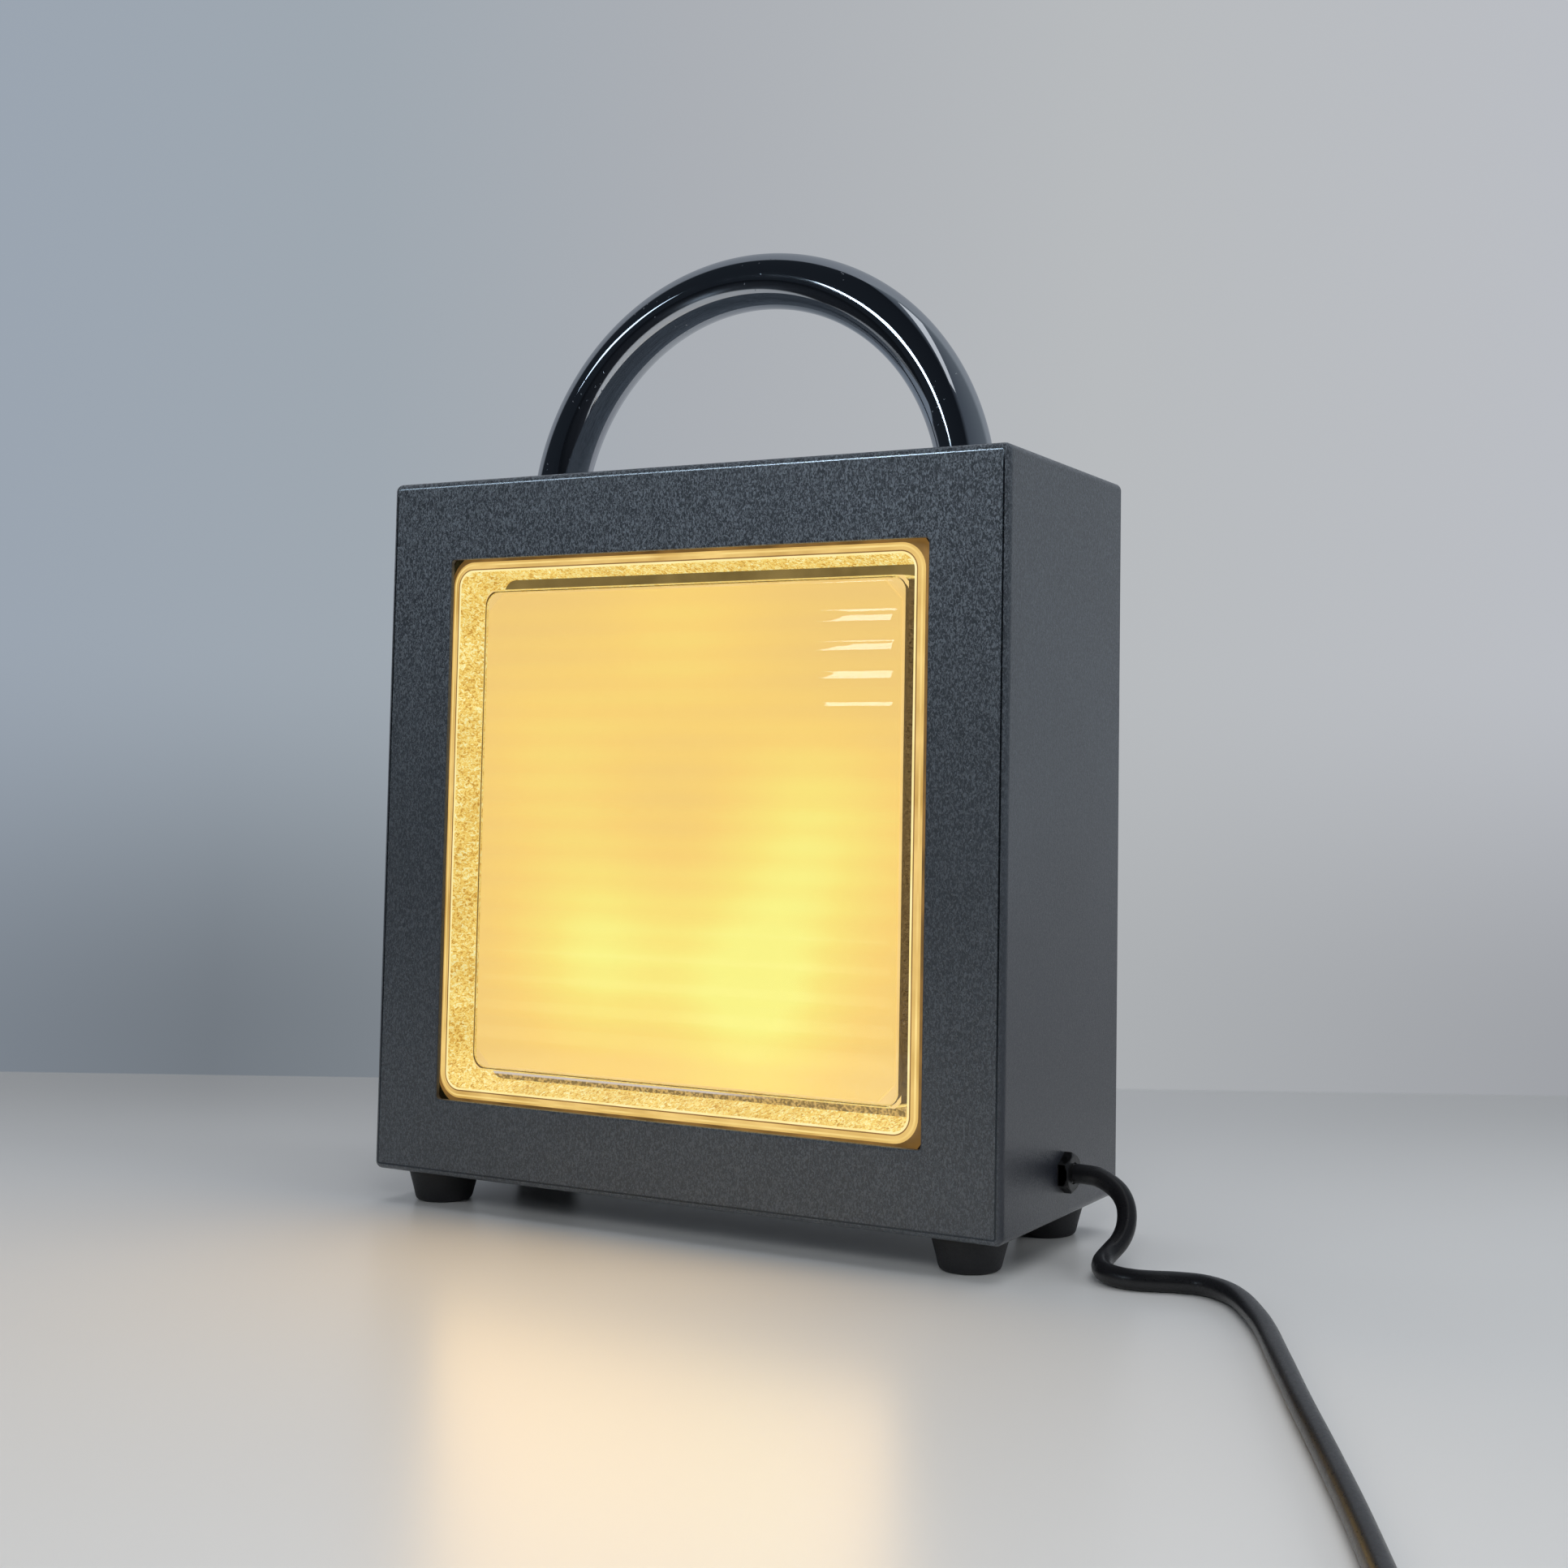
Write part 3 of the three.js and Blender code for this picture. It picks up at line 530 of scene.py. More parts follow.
class Rings:
    """A mesh made of closed rings of points joined by strips of quads. indices holds each face's
    material."""

    def __init__(self):
        self.points, self.faces, self.indices, self.rings = [], [], [], []

    def ring(self, points):
        start = len(self.points)
        self.points += points
        self.rings.append(range(start, len(self.points)))
        return self.rings[-1]

    def strip(self, a, b, material):
        count = len(a)
        for i in range(count):
            j = (i + 1) % count
            self.faces.append((a[i], a[j], b[j], b[i]))
            self.indices.append(material)

    def cap(self, ring):
        self.faces.append(tuple(ring))
        self.indices.append(0)

    def fan(self, ring, point):
        """Closes a ring with triangles that meet at a point."""
        self.points.append(point)
        tip = len(self.points) - 1
        for i in range(len(ring)):
            self.faces.append((ring[i], ring[(i + 1) % len(ring)], tip))
            self.indices.append(0)

    def join(self, rings, materials=None, closed=False):
        """Strips between neighbouring rings, and back from the last to the first if closed."""
        pairs = list(zip(rings, rings[1:], strict=False))
        if closed:
            pairs.append((rings[-1], rings[0]))
        for k, (a, b) in enumerate(pairs):
            self.strip(a, b, materials[k] if materials else 0)

    def close(self):
        """Joins all the rings in order and caps the first and last."""
        self.join(self.rings)
        self.cap(self.rings[0])
        self.cap(self.rings[-1])

    def piece(self, name, materials):
        return mesh_object(name, self.points, self.faces, materials, self.indices)


def square_ring(half, corner, y, middle, across=8, upward=8, arc=5):
    """A rounded square in X and Z at depth y, as points that start low on the left corner.
    Each side has the given number of steps, and each corner 2 * arc steps shared by its sides."""
    flat = half - corner
    x0, z0 = middle
    points = []
    for side, steps in enumerate((across, upward, across, upward)):
        turn = side * math.pi / 2
        local = []
        for i in range(arc):
            a = math.pi * (1.25 + 0.25 * i / arc)
            local.append((-flat + corner * math.cos(a), -flat + corner * math.sin(a)))
        for i in range(steps):
            local.append((-flat + 2 * flat * i / steps, -half))
        for i in range(arc):
            a = math.pi * (1.5 + 0.25 * i / arc)
            local.append((flat + corner * math.cos(a), -flat + corner * math.sin(a)))
        c, s = math.cos(turn), math.sin(turn)
        points += [(x0 + x * c - z * s, y, z0 + x * s + z * c) for x, z in local]
    return points


def lathe(profile, sides, middle_x, middle_y):
    """A closed solid turned about an upright axis, from (radius, height) points."""
    mesh = Rings()
    for radius, height in profile:
        ring = []
        for i in range(sides):
            a = 2 * math.pi * i / sides
            ring.append((radius * math.cos(a) + middle_x, radius * math.sin(a) + middle_y, height))
        mesh.ring(ring)
    mesh.close()
    return mesh


def round_bar(line, radius, sides):
    """A closed bar round a line of points, with flat ends. radius is a function of 0 to 1."""
    mesh = Rings()
    tangents = [
        (line[min(i + 1, len(line) - 1)] - line[max(i - 1, 0)]).normalized()
        for i in range(len(line))
    ]
    side = tangents[0].orthogonal().normalized()
    for i, (centre, tangent) in enumerate(zip(line, tangents, strict=True)):
        side = (side - tangent * side.dot(tangent)).normalized()
        other = tangent.cross(side)
        r = radius(i / (len(line) - 1))
        ring = []
        for k in range(sides):
            a = 2 * math.pi * k / sides
            ring.append(tuple(centre + (side * math.cos(a) + other * math.sin(a)) * r))
        mesh.ring(ring)
    mesh.close()
    return mesh


# Cords: the same points as the CAD's, in metres

CORD = 0.003  # radius
LAMP_TO_SWITCH = [
    (0.1211, 0.0015, 0.0254),
    (0.1251, 0.0015, 0.0254),
    (0.129, 0.0018, 0.0249),
    (0.1325, 0.0016, 0.0234),
    (0.1356, 0.0011, 0.0214),
    (0.1379, 0, 0.0188),
    (0.1393, -0.0016, 0.0158),
    (0.1399, -0.0043, 0.0119),
    (0.1392, -0.0076, 0.0084),
    (0.1377, -0.0115, 0.0058),
    (0.1374, -0.016, 0.0044),
    (0.1389, -0.0211, 0.0036),
    (0.142, -0.0252, 0.0032),
    (0.1466, -0.0276, 0.003),
    (0.152, -0.0282, 0.003),
    (0.1576, -0.0268, 0.003),
    (0.1632, -0.0248, 0.003),
    (0.1711, -0.024, 0.003),
    (0.1813, -0.03, 0.003),
    (0.1966, -0.0534, 0.003),
    (0.2118, -0.086, 0.003),
    (0.2265, -0.1189, 0.003),
    (0.2416, -0.1517, 0.003),
    (0.2564, -0.1845, 0.003),
    (0.2707, -0.2176, 0.003),
    (0.2808, -0.2416, 0.0034),
    (0.2846, -0.2508, 0.0043),
    (0.2876, -0.2581, 0.0056),
    (0.2904, -0.2656, 0.006),
]
SWITCH_TO_COIL = [
    (0.3116, -0.3224, 0.006),
    (0.3142, -0.3304, 0.005),
    (0.315, -0.34, 0.0035),
    (0.312, -0.3506, 0.003),
    (0.3046, -0.3596, 0.003),
    (0.2938, -0.365, 0.003),
    (0.28, -0.3666, 0.003),
    (0.2652, -0.3665, 0.003),
]
COIL_TO_PLUG = [
    (0.2148, -0.3665, 0.0084),
    (0.209, -0.3662, 0.0076),
    (0.2033, -0.366, 0.007),
]
COIL_MIDDLE = (0.24, -0.3245)
COIL_OUTER, COIL_INNER = 0.042, 0.0237  # radii of the first and third turns' centre lines
COIL_LIFT = 0.0062  # height of the upper layer over the lower
COIL_TURNS = 6  # three inwards on the table and three outwards on top of them
COIL_STEPS = 16  # points in each turn


def coil_points():
    """The centre line of the coil, which climbs to its upper layer over 0.6 of a turn."""
    points = []
    half = COIL_TURNS / 2
    for i in range(COIL_TURNS * COIL_STEPS + 1):
        turns = i / COIL_STEPS
        inward = 1 - abs(turns - half) / half
        radius = COIL_OUTER + (COIL_INNER - COIL_OUTER) * inward
        climb = min(max((turns - half + 0.3) / 0.6, 0), 1)
        angle = -math.pi / 2 - 2 * math.pi * turns
        x = COIL_MIDDLE[0] + radius * math.cos(angle)
        y = COIL_MIDDLE[1] + radius * math.sin(angle)
        points.append((x, y, CORD + COIL_LIFT * climb * climb * (3 - 2 * climb)))
    return points


def cord(name, points, steps, replaced):
    """A round cord through the points, and its length in metres."""
    data = bpy.data.curves.new(name, "CURVE")
    data.dimensions = "3D"
    data.bevel_depth = CORD
    data.bevel_resolution = 6
    data.use_fill_caps = True
    line = catmull_rom(points, steps)
    spline = data.splines.new("POLY")
    spline.points.add(len(line) - 1)
    for point, place in zip(spline.points, line, strict=True):
        point.co = (*place, 1)
    spline.use_smooth = True
    data.materials.append(SHEATH)
    piece = bpy.data.objects.new(name, data)
    finish_piece(piece, replaced=replaced)
    return piece, sum((b - a).length for a, b in zip(line, line[1:], strict=False))


first_cord, first_length = cord("cord_to_switch", LAMP_TO_SWITCH, 8, ["mains_cord_lamp"])
second_cord, second_length = cord(
    "cord_to_plug",
    [*SWITCH_TO_COIL, *coil_points(), *COIL_TO_PLUG],
    4,
    ["mains_cord_coil_lead", "mains_cord_coil", "mains_cord_plug_lead"],
)
nodes = frame["nodes"]
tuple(LAMP_TO_SWITCH[0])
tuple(SWITCH_TO_COIL[0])
print("cord lengths", round(first_length, 4), round(second_length, 4))


# The folded steel box

BOX_LOW, BOX_HIGH = (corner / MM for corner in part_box("front_shell"))
HALF = (BOX_HIGH.x - BOX_LOW.x) / 2
FRONT, REAR = BOX_LOW.y, BOX_HIGH.y
MIDDLE = (BOX_LOW.z + BOX_HIGH.z) / 2
SHEET = 1.5
BEND = 2.3  # outer radius of the folds
FOLDS = 12  # flats in each fold
CORNER = 2.6  # radius of the box's four long edges
FLANGE = 10  # width of the rear lip
LIP_FRONT, LIP_REAR = 4.7, 3.2  # of the rear lip, from the back of the box
WINDOW = 91  # half side
WINDOW_MIDDLE = (0, MIDDLE - 1)


def shell():
    """The box as one closed strip of rings, from the window out and round to its own back."""
    mesh = Rings()

    def ring(half, corner, y, centre=(0, MIDDLE)):
        return mesh.ring(square_ring(half, corner, y, centre))

    rings = [
        ring(WINDOW, 1.3, FRONT + SHEET, WINDOW_MIDDLE),
        ring(WINDOW, 1.3, FRONT + 0.5, WINDOW_MIDDLE),
        ring(WINDOW + 0.12, 1.4, FRONT + 0.16, WINDOW_MIDDLE),
        ring(WINDOW + 0.5, 1.7, FRONT, WINDOW_MIDDLE),
        ring(WINDOW + 1.0, 2.0, FRONT, WINDOW_MIDDLE),
        ring(HALF - BEND - 0.5, 0.5, FRONT),
    ]
    fold_start = len(rings)
    for i in range(FOLDS + 1):
        a = math.pi / 2 * i / FOLDS
        inset = BEND * (1 - math.sin(a))
        corner = 0.35 + (CORNER - 0.35) * math.sin(a)
        rings.append(ring(HALF - inset, corner, FRONT + BEND * (1 - math.cos(a))))
    inner = HALF - SHEET
    rings += [
        ring(HALF, CORNER, FRONT + BEND + 0.4),
        ring(HALF, CORNER, REAR - 0.9),
        ring(HALF, CORNER, REAR - 0.4),
        ring(HALF - 0.12, 2.5, REAR - 0.1),
        ring(HALF - 0.4, 2.2, REAR),
        ring(inner + 0.2, 1.2, REAR),
        ring(inner, 1.1, REAR - 0.2),
        ring(inner, 1.1, REAR - LIP_REAR),
        ring(inner - FLANGE, 1.1, REAR - LIP_REAR),
        ring(inner - FLANGE, 1.1, REAR - LIP_FRONT),
        ring(inner, 1.1, REAR - LIP_FRONT),
        ring(inner, 1.1, FRONT + SHEET),
    ]
    # The fold's first two strips get the fold paint, whose near-white strip along the top is a
    # painted highlight.
    edge = {fold_start, fold_start + 1}  # the two strips where the fold starts
    mesh.join(rings, [int(k in edge) for k in range(len(rings))], closed=True)
    piece = mesh.piece("steel_box", [POWDER, FOLD_PAINT_HIGHLIGHT])
    finish_piece(piece, replaced=["front_shell"], smooth=28)


shell()


# The glass block

GLASS_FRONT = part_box("glass_block_front")[0].y / MM
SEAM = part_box("glass_block_front")[1].y / MM
FACE = 87.6  # half side of the flat front
EDGE = 7.4  # radius of the rounded edge round it
CORNER_MIDDLE = 82  # half side less corner radius, all round the rounded edge
PANE_DEPTH = 9.0  # thickness of the front pane
PANE_HALF = 79.8  # half side of its inner face
FLUTE_START = 5.1  # height of one flute's foot above the block's middle
FLUTES_BELOW, FLUTES_ABOVE = 8, 7  # counted from there
FLUTE_DEPTH = 0.16  # low down; twice that from 60 mm above the middle
ACROSS, UPWARD, ARC = 24, 264, 5  # steps along the sides and half round the corners


def flute(z, x, half):
    """Depth of the shallow horizontal flutes pressed into the inside of the front pane."""
    height = z - GLASS_MIDDLE[1]
    count = (height - FLUTE_START) * MM / FLUTE
    if not -FLUTES_BELOW <= count < FLUTES_ABOVE:
        return 0
    fade = min(max((half - abs(x - GLASS_MIDDLE[0])) / 3, 0), 1)
    depth = FLUTE_DEPTH + FLUTE_DEPTH * min(max((height - 25) / 35, 0), 1)
    return depth * fade * abs(math.sin(math.pi * count))


def pane(mesh, ring):
    """Fills the ring of the pane's inner face with rows of quads that follow the flutes."""
    bottom = ACROSS + 2 * ARC
    side = UPWARD + 2 * ARC
    points = mesh.points
    low = [ring[i] for i in range(bottom + 1)]
    right = [ring[bottom + i] for i in range(side + 1)]
    high = [ring[bottom + side + bottom - i] for i in range(bottom + 1)]
    left = [ring[(2 * bottom + 2 * side - i) % len(ring)] for i in range(side + 1)]
    rows = [low]
    for j in range(1, side):
        v = j / side
        row = [left[j]]
        for i in range(1, bottom):
            u = i / bottom
            x, z = (
                (1 - v) * points[low[i]][k]
                + v * points[high[i]][k]
                + ((1 - u) * points[left[j]][k] + u * points[right[j]][k])
                - (1 - v) * ((1 - u) * points[low[0]][k] + u * points[low[-1]][k])
                - v * ((1 - u) * points[high[0]][k] + u * points[high[-1]][k])
                for k in (0, 2)
            )
            points.append((x, GLASS_FRONT + PANE_DEPTH - flute(z, x, PANE_HALF), z))
            row.append(len(points) - 1)
        row.append(right[j])
        rows.append(row)
    rows.append(high)
    for a, b in zip(rows, rows[1:], strict=False):
        for i in range(bottom):
            mesh.faces.append((a[i], a[i + 1], b[i + 1], b[i]))
            mesh.indices.append(0)


def glass_front():
    """The front half of the block, in rings from the middle of its face out round its edge, back
    along its side, and forwards again inside to the pane's inner face."""
    mesh = Rings()
    seam = SEAM - GLASS_FRONT
    clear, stippled, seamed, light, dark, gold, pale, black = range(8)
    # (half side, corner radius, depth, material of the strip before it)
    # The strips round the rounded edge carry painted highlight, painted shade and painted
    # refracted glow.
    outer = [(86.9, 5.0, 0, clear), (FACE, 5.6, 0, light)]
    for half, material in ((88.0, dark), (89.1, gold), (89.7, pale), (90.4, gold), (92, black)):
        a = math.asin((half - FACE) / EDGE)
        outer.append((half, half - CORNER_MIDDLE, EDGE * (1 - math.cos(a)), material))
    for tenths in range(5, 11):
        a = math.pi / 2 * tenths / 10
        half = FACE + EDGE * math.sin(a)
        outer.append((half, half - CORNER_MIDDLE, EDGE * (1 - math.cos(a)), black))
    outer += [
        (95, 13, 10.4, clear),
        (94.6, 12.6, 11.2, stippled),
        (92.6, 10.6, 12.6, stippled),
        (92, 10, 13.4, stippled),
        (90.0, 8.4, 22, stippled),
        (86.5, 5, seam, stippled),
        (83, 6, seam, seamed),
        (81.4, 5.6, 12, clear),
        (81.2, 5.5, 10.6, clear),
        (80.95, 5.3, 9.7, clear),
        (80.4, 5.1, 9.15, clear),
        (PANE_HALF, 4.9, PANE_DEPTH, clear),
    ]
    for half, corner, depth, _ in outer:
        y = GLASS_FRONT + depth
        mesh.ring(square_ring(half, corner, y, GLASS_MIDDLE, ACROSS, UPWARD, ARC))
    mesh.join(mesh.rings, [material for _, _, _, material in outer[1:]])
    mesh.cap(mesh.rings[0])
    pane(mesh, mesh.rings[-1])
    looks = [GLASS, STIPPLE, SEAM_GLOW, RIM_PAINTED_HIGHLIGHT, RIM_PAINTED_SHADE, RIM_PAINTED_GOLD, RIM_PAINTED_PALE_HIGHLIGHT, RIM_PAINTED_DEEP_SHADE]
    piece = mesh.piece("glass_front_half", looks)
    finish_piece(piece, replaced=["glass_block_front"], smooth=32)


def cut_corner_sheet(name, half, cut, y0, y1, material, replaced=()):
    """An upright square sheet with its corners cut off at 45 degrees and its edges bevelled."""
    mesh = Rings()
    bevel = 0.25
    for inset, y in ((bevel, y0), (0, y0 + bevel), (0, y1 - bevel), (bevel, y1)):
        h, c = half - inset, cut
        corners = [(-h + c, -h), (h - c, -h), (h, -h + c), (h, h - c)]
        corners += [(h - c, h), (-h + c, h), (-h, h - c), (-h, -h + c)]
        mesh.ring([(GLASS_MIDDLE[0] + x, y, GLASS_MIDDLE[1] + z) for x, z in corners])
    mesh.close()
    finish_piece(mesh.piece(name, [material]), replaced=replaced)


glass_front()
sheet = GLASS_FRONT + PANE_DEPTH + 0.3  # where the diffuser's front is
cut_corner_sheet("diffuser", 79.6, 6, sheet, sheet + 1.5, DIFFUSER, ["diffuser_sheet"])
film = lit_film("reflector_film", (244, 206, 130), (252, 220, 150))
cut_corner_sheet("reflector_film", 81.2, 2, sheet + 2.2, sheet + 2.6, film)


# The chrome handle

ARC_RADIUS, ARC_Z, AXIS_Y = 81.8, BOX_HIGH.z - 11.5, 1.5
BAR = 9.5  # radius
ROOT = BOX_HIGH.z + 0.1  # height of the bar's cut ends


def handle():
    """An arc of round bar whose two ends are cut level with the box's top."""
    mesh = Rings()
    steps, sides = 120, 64
    start = math.asin((ROOT - ARC_Z) / ARC_RADIUS)
    for i in range(steps + 1):
        a = start + (math.pi - 2 * start) * i / steps
        centre = (ARC_RADIUS * math.cos(a), AXIS_Y, ARC_Z + ARC_RADIUS * math.sin(a))
        out = Vector((math.cos(a), 0, math.sin(a)))
        ring = []
        for k in range(sides):
            b = 2 * math.pi * k / sides
            p = Vector(centre) + BAR * (out * math.cos(b) + Vector((0, math.sin(b), 0)))
            if i in (0, steps):
                slope = Vector((-math.sin(a), 0, math.cos(a)))
                p += slope * ((ROOT - p.z) / slope.z)
            ring.append(tuple(p))
        mesh.ring(ring)
    mesh.close()
    piece = mesh.piece("handle_bar", [CHROME])
    finish_piece(piece, replaced=["handle"], smooth=50)


handle()


# Feet, gland and screws


def feet():
    # (radius, height), from the roof of the screw's recess, down and out to the top
    profile = [(0.01, 5.9), (2.4, 5.9), (4.2, 5.8), (4.3, 0.5), (4.8, 0.0), (7.8, 0.0)]
    profile += [(8.7, 0.18), (9.3, 0.65), (9.65, 1.4), (10.3, 4.0), (11.0, 6.6), (11.8, 9.4)]
    profile += [(12.25, 10.4), (12.15, 10.85), (11.6, 10.95)]
    for end in ("front", "rear"):
        for side in ("left", "right"):
            name = f"foot_{end}_{side}"
            low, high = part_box(name)
            mesh = lathe(profile, 64, (low.x + high.x) / 2 / MM, (low.y + high.y) / 2 / MM)
            piece = mesh.piece(f"rubber_{name}", [RUBBER])
            finish_piece(piece, replaced=[name], smooth=50)


feet()


def gland():
    """The hexagonal nut outside the box's right wall, hollow for the cord."""
    low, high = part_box("gland_body")
    y, z = (low.y + high.y) / 2 / MM, (low.z + high.z) / 2 / MM
    face = HALF + 0.05
    top = high.x / MM
    apothem = 5.5
    hexagon_end = 4.95  # smaller radii than this are round
    # (position along X, limit on the radius): the hexagon is turned down to a cone at its end
    profile = [
        (face, 6.6),
        (face + 0.15, 6.75),
        (top - 1.3, 6.75),
        (top - 0.85, 6.2),
        (top - 0.35, 5.75),
        (top, 5.3),
        (top + 0.05, 5.1),
        (top - 0.05, 4.9),
        (top - 0.55, 4.6),
        (top - 0.6, 4.1),
        (top - 0.1, 3.9),
        (top, 3.6),
        (top - 0.2, 3.35),
        (top - 2.5, 3.3),
        (face, 3.3),
    ]
    mesh = Rings()
    sides = 96
    for x, limit in profile:
        ring = []
        for i in range(sides):
            a = 2 * math.pi * i / sides
            across = (a + math.pi / 6) % (math.pi / 3) - math.pi / 6
            radius = limit
            if limit > hexagon_end:
                radius = min(limit, apothem / math.cos(across))
            ring.append((x, y + radius * math.cos(a), z + radius * math.sin(a)))
        mesh.ring(ring)
    mesh.join(mesh.rings, closed=True)
    finish_piece(mesh.piece("gland_nut", [NYLON]), smooth=28)


gland()


HEAD_RADIUS, HEAD_HEIGHT, HEAD_RIM = 2.7, 1.3, 0.35
SHANK_RADIUS, SHANK_LENGTH = 1.3, 4.5
RECESS_HALF, RECESS_REACH, RECESS_DEPTH = 0.42, 1.65, 0.8


def cross_screw(name, place):
    """A pan head with a cross recess, facing the rear, on its shank."""
    mesh = Rings()
    base = place[1]

    def ring(radius, height):
        points = []
        sides = 48
        for i in range(sides):
            a = 2 * math.pi * i / sides
            x, z = radius * math.cos(a), radius * math.sin(a)
            points.append((place[0] + x, height(radius, a), place[2] + z))
        mesh.ring(points)

    def top(radius, a):
        curve = math.sqrt(max(1 - (radius / HEAD_RADIUS) ** 2, 0)) ** 0.8
        dome = base + HEAD_RIM + (HEAD_HEIGHT - HEAD_RIM) * curve
        u, v = abs(radius * math.cos(a)), abs(radius * math.sin(a))
        near = min(max((RECESS_HALF - min(u, v)) / 0.16, 0), 1)
        within = min(max((RECESS_REACH - max(u, v)) / 0.3, 0), 1)
        return dome - RECESS_DEPTH * (near * within)

    for radius, y in (
        (SHANK_RADIUS, base - SHANK_LENGTH),
        (SHANK_RADIUS, base - 0.05),
        (HEAD_RADIUS, base),
        (HEAD_RADIUS, base + HEAD_RIM),
    ):
        ring(radius, lambda r, a, y=y: y)
    steps = 15
    for step in range(1, steps):
        ring(HEAD_RADIUS * (1 - step / steps), top)
    mesh.join(mesh.rings)
    mesh.cap(mesh.rings[0])
    mesh.fan(mesh.rings[-1], (place[0], top(0.01, 0.1), place[2]))
    piece = mesh.piece(f"cross_{name}", [ZINC])
    finish_piece(piece, replaced=[name], smooth=40)


for number in range(1, 7):
    low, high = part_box(f"cover_screw_{number}")
    x, z = (low.x + high.x) / 2 / MM, (low.z + high.z) / 2 / MM
    cross_screw(f"cover_screw_{number}", (x, high.y / MM - HEAD_HEIGHT, z))


SLEEVE = 0.02  # length of each strain relief, in metres


def strain_relief(name, points, wide, narrow):
    """A tapered ribbed sleeve on the first stretch of a cord, from points in metres."""
    line, run = [], 0.0
    route = catmull_rom(points, 24)
    for a, b in zip(route, route[1:], strict=False):
        line.append(a / MM)
        run += (b - a).length
        if run >= SLEEVE:
            break

    def radius(t):
        ribs, tip = 9, 0.97
        rib = 0.22 if 0.12 < t < 0.94 and (t * ribs) % 1 < 0.5 else 0
        rounding = 0.5 * (t - tip) / (1 - tip) if t > tip else 0
        return wide + (narrow - wide) * t + rib - rounding

    piece = round_bar(line, radius, 32).piece(name, [RUBBER])
    finish_piece(piece, smooth=35)


last_seven = LAMP_TO_SWITCH[:-8:-1]
strain_relief("sleeve_to_lamp", last_seven, 4.6, 3.3)
strain_relief("sleeve_to_coil", SWITCH_TO_COIL, 4.6, 3.3)
strain_relief("sleeve_to_plug", [*COIL_TO_PLUG[::-1], (0.226, -0.3665, 0.0091)], 4.9, 3.5)


# Materials of the CAD pieces that stay

CAD_FINISHES = {
    "rear_cover": POWDER,
    "window_gasket": plain("foam", (30, 24, 18), (44, 36, 28), 0.85),
    "glass_block_rear": GLASS,
    "led_board": plain("white_board", (206, 206, 200), (222, 222, 216), 0.4),
    "thermal_pad": plain("grey_silicone", (146, 146, 140), (164, 164, 158), 0.75),
    "led_driver": plain("white_case", (208, 206, 198), (226, 224, 216), 0.45),
    "terminal_block": plain("terminal_case", (214, 212, 204), (230, 228, 220), 0.4),
    "led_lead": plain("white_lead", (206, 204, 198), (224, 222, 216), 0.4),
    "mains_lead_inner": SHEATH,
    "gland_body": NYLON,
    "gland_locknut": NYLON,
    "switch_lower_shell": NYLON,
    "switch_upper_shell": NYLON,
    "switch_rocker": nylon("rocker_nylon", 20, 32, 0.24),
    "switch_contact": BRASS,
    "plug_body": NYLON,
    "plug_pin_1": BRASS,
    "plug_pin_2": BRASS,
}
SOFT_EDGES = {  # bevels, in millimetres
    "rear_cover": 0.25,
    "switch_lower_shell": 0.5,
    "switch_upper_shell": 0.5,
    "switch_rocker": 0.3,
    "plug_body": 0.6,
}
LED = lit_film("led_phosphor", (252, 214, 120), (255, 236, 160))
for name, node in nodes.items():
    if node.hide_render:  # replaced by a piece above
        continue
    finish = LED if name.startswith("led_module") else CAD_FINISHES.get(name, ZINC)
    node.data.materials.clear()
    node.data.materials.append(finish)
    if name in SOFT_EDGES:
        bevel = node.modifiers.new("edges", "BEVEL")
        bevel.width, bevel.segments = SOFT_EDGES[name] * MM, 3
        bevel.limit_method, bevel.angle_limit = "ANGLE", math.radians(35)


# Floor, wall and lights

WALL = 0.3044  # how far the foot of the wall is from the lamp's middle, along AHEAD
# The wall's colour along ASIDE, painted lighter to the right as light falls, and its painted
# shade, as parts of a unit direction from the camera
WALL_PAINTED_TONES = [
    (-0.40, (155, 165, 177)),
    (-0.25, (159, 168, 177)),
    (-0.10, (171, 175, 181)),
    (0.10, (184, 187, 190)),
    (0.32, (187, 190, 196)),
]
WALL_SHADE = [(-0.40, 0.60), (-0.31, 0.50), (-0.20, 0.60), (-0.08, 0.8), (0.06, 0.9), (0.32, 0.70)]


def wall(n, direction):
    """The wall's colour in a direction from the camera, with its painted light, and the painted
    shade that darkens its foot there.
    """
    across = n.vector("DOT_PRODUCT", direction, tuple(ASIDE))
    place = n.math("ADD", across, 0.5)
    tone = n.ramp(place, *((a + 0.5, srgb(*colour)) for a, colour in WALL_PAINTED_TONES))
    shade = n.ramp(place, *((a + 0.5, (k, k, k)) for a, k in WALL_SHADE))
    low = n.between(n.split(direction)[2], 0.07, -0.12)
    return n.mix(low, tone, n.mix(1.0, tone, shade, "MULTIPLY")), shade


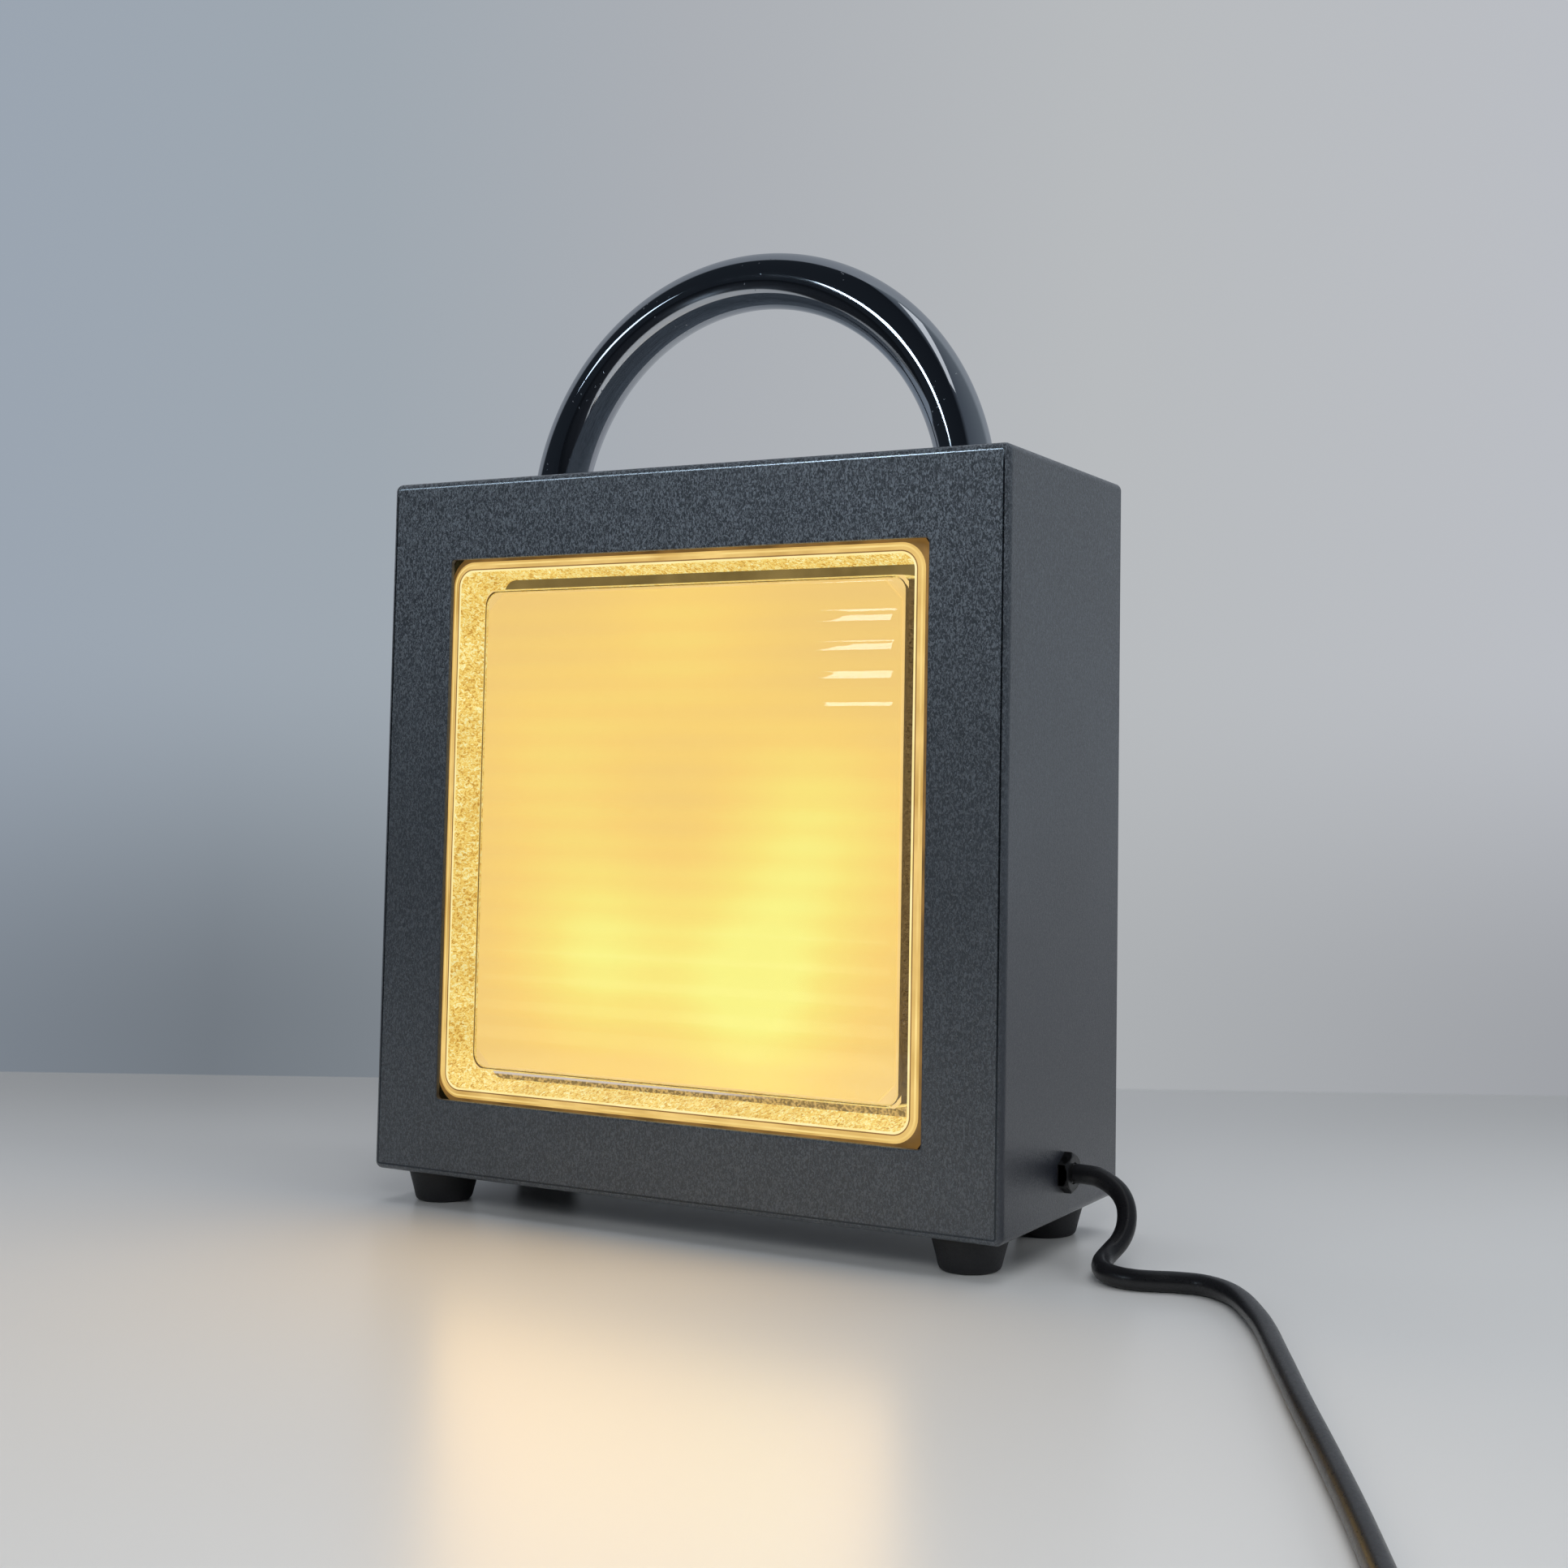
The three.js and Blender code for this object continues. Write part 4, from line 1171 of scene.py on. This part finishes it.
def floor():
    """A pale table top, darkened by the wall's painted shade towards the wall's foot. Past the
    wall's foot it takes the wall's colour, and to the lamp's own reflections it is painted dark in
    front, where the room is."""
    mesh = bpy.data.meshes.new("floor")
    work = bmesh.new()
    bmesh.ops.create_circle(work, cap_ends=True, segments=96, radius=12)
    work.to_mesh(mesh)
    work.free()
    n = Nodes("floor")
    back = n.vector("DOT_PRODUCT", n.place, tuple(AHEAD))
    colour, shade = wall(n, n.vector("NORMALIZE", n.vector("SUBTRACT", n.place, tuple(EYE))))
    mirrored = n.add("ShaderNodeLightPath").outputs["Is Glossy Ray"]
    far = n.between(n.vector("LENGTH", n.place), 0.44, 0.52)
    # painted reflection: to glossy rays the floor far in front is dark, as the room there
    painted_dark_reflection = n.math("MULTIPLY", mirrored, n.math("MULTIPLY", far, n.between(back, 0.1, 0.0)))
    # painted shade: near the wall's foot the floor is darkened by the wall's shade
    base = n.mix(n.between(back, WALL - 0.3, WALL), srgb(206, 206, 205), shade, "MULTIPLY")
    n.set(
        Base_Color=n.mix(painted_dark_reflection, base, srgb(40, 42, 46)),
        Roughness=0.3,
        Specular_IOR_Level=0.4,
        Normal=n.bump(n.noise(260, 2), 0.00004, 0.2),
    )
    glow = n.add("ShaderNodeEmission", {"Color": colour, "Strength": 1.0})
    beyond = n.between(back, WALL - 0.004, WALL + 0.002)
    distant = n.between(n.vector("LENGTH", n.place), 0.9, 2.4)
    distant = n.math("MULTIPLY", distant, n.math("SUBTRACT", 1.0, mirrored))
    blend = n.add("ShaderNodeMixShader", {"Fac": n.math("MAXIMUM", beyond, distant)})
    n.put(blend, 1, n.shader.outputs["BSDF"])
    n.put(blend, 2, glow.outputs[0])
    n.tree.links.new(blend.outputs[0], n.output.inputs["Surface"])
    mesh.materials.append(n.material)
    piece = bpy.data.objects.new("floor", mesh)
    bpy.context.scene.collection.objects.link(piece)


floor()


def world():
    """The wall for the camera, and a room for everything else: a pale wall behind the lamp and to
    its left, a dimmer one to its right, and darkness in front."""
    scene_world = bpy.data.worlds.new("studio")
    bpy.context.scene.world = scene_world
    scene_world.use_nodes = True
    n = Nodes("studio", scene_world)
    colour, _ = wall(n, n.place)
    x, y, _ = n.split()
    turn = n.math("ARCTAN2", x, n.math("MULTIPLY", y, -1.0))
    room = n.ramp(
        n.math("MULTIPLY_ADD", turn, 0.5 / math.pi, 0.5),
        (0.0, srgb(158, 163, 170)),
        (0.262, srgb(142, 147, 154)),
        (0.286, srgb(38, 43, 49)),
        (0.60, srgb(28, 32, 38)),
        (0.64, srgb(88, 95, 104)),
        (0.86, srgb(116, 123, 130)),
        (0.91, srgb(160, 166, 172)),
        (1.0, srgb(158, 163, 170)),
    )
    seen = n.add("ShaderNodeLightPath").outputs["Is Camera Ray"]
    n.put(n.shader, "Color", n.mix(seen, room, colour))


world()


def rectangle(name, size, power):
    """A rectangular light that the camera doesn't see."""
    data = bpy.data.lights.new(name, "AREA")
    data.shape = "RECTANGLE"
    data.size, data.size_y = size
    data.energy = power
    light = bpy.data.objects.new(name, data)
    light.visible_camera = False
    bpy.context.scene.collection.objects.link(light)
    return light


def area(name, place, target, size, power, colour, mirrored=False):
    """A light at place that faces target, and shows in mirrors and glass if mirrored."""
    light = rectangle(name, size, power)
    light.data.color = colour
    light.location = place
    light.rotation_euler = (Vector(target) - Vector(place)).to_track_quat("-Z", "Y").to_euler()
    light.visible_glossy = light.visible_transmission = mirrored
    return light


def strip(name, start, end, width, power):
    """A long light under the ceiling, from start to end."""
    start, end = Vector(start), Vector(end)
    light = rectangle(name, ((end - start).length, width), power)
    light.location = (start + end) / 2
    light.rotation_euler = (0, 0, math.atan2(end.y - start.y, end.x - start.x))


area("ceiling", (0.1, 0.2, 1.9), (0, 0, 0), (2.2, 1.8), 19.5, (0.97, 0.98, 1.0))
area("front_fill", (-0.7, -1.9, 1.3), (0, 0, 0.12), (1.6, 1.2), 8, (0.98, 0.99, 1.0))
area("key", (0.35, -0.58, 0.43), (0.03, 0, 0.2), (0.3, 0.2), 1.35, (0.95, 0.98, 1.0))
area("side_sky", (2.2, 0.3, 0.9), (0.1, 0, 0.15), (1.2, 1.2), 16, (0.96, 0.98, 1.0))
sky = (0.72, 0.86, 1.0)
beside, above = (-1.25, -1.42, 0.84), (0, 0, 0.25)
area("window_1", (-0.84, -1.76, 0.74), (0.05, 0, 0.25), (0.20, 0.28), 1.6, sky, mirrored=True)
in_chrome = area("window_2", beside, above, (0.3, 0.15), 0.45, sky, mirrored=True)
in_chrome.visible_transmission = False
in_glass = area("window_3", beside, above, (0.24, 0.06), 0.06, sky, mirrored=True)
in_glass.visible_glossy = False
strip("ceiling_strip", (1.77, -1.59, 2.3), (0.6, 0.35, 2.3), 0.42, 2.4)

# The lamp's own light, from just in front of the window
glow_at = (GLASS_MIDDLE[0] * MM, (FRONT - 1.5) * MM, GLASS_MIDDLE[1] * MM)
ahead_of_it = (glow_at[0], -1, glow_at[2])
amber = (1.0, 0.6, 0.2)
glow = area("lamp_glow", glow_at, ahead_of_it, (0.17, 0.17), 0.21, amber, mirrored=True)
glow.visible_transmission = False

bpy.context.scene.view_settings.view_transform = "Standard"
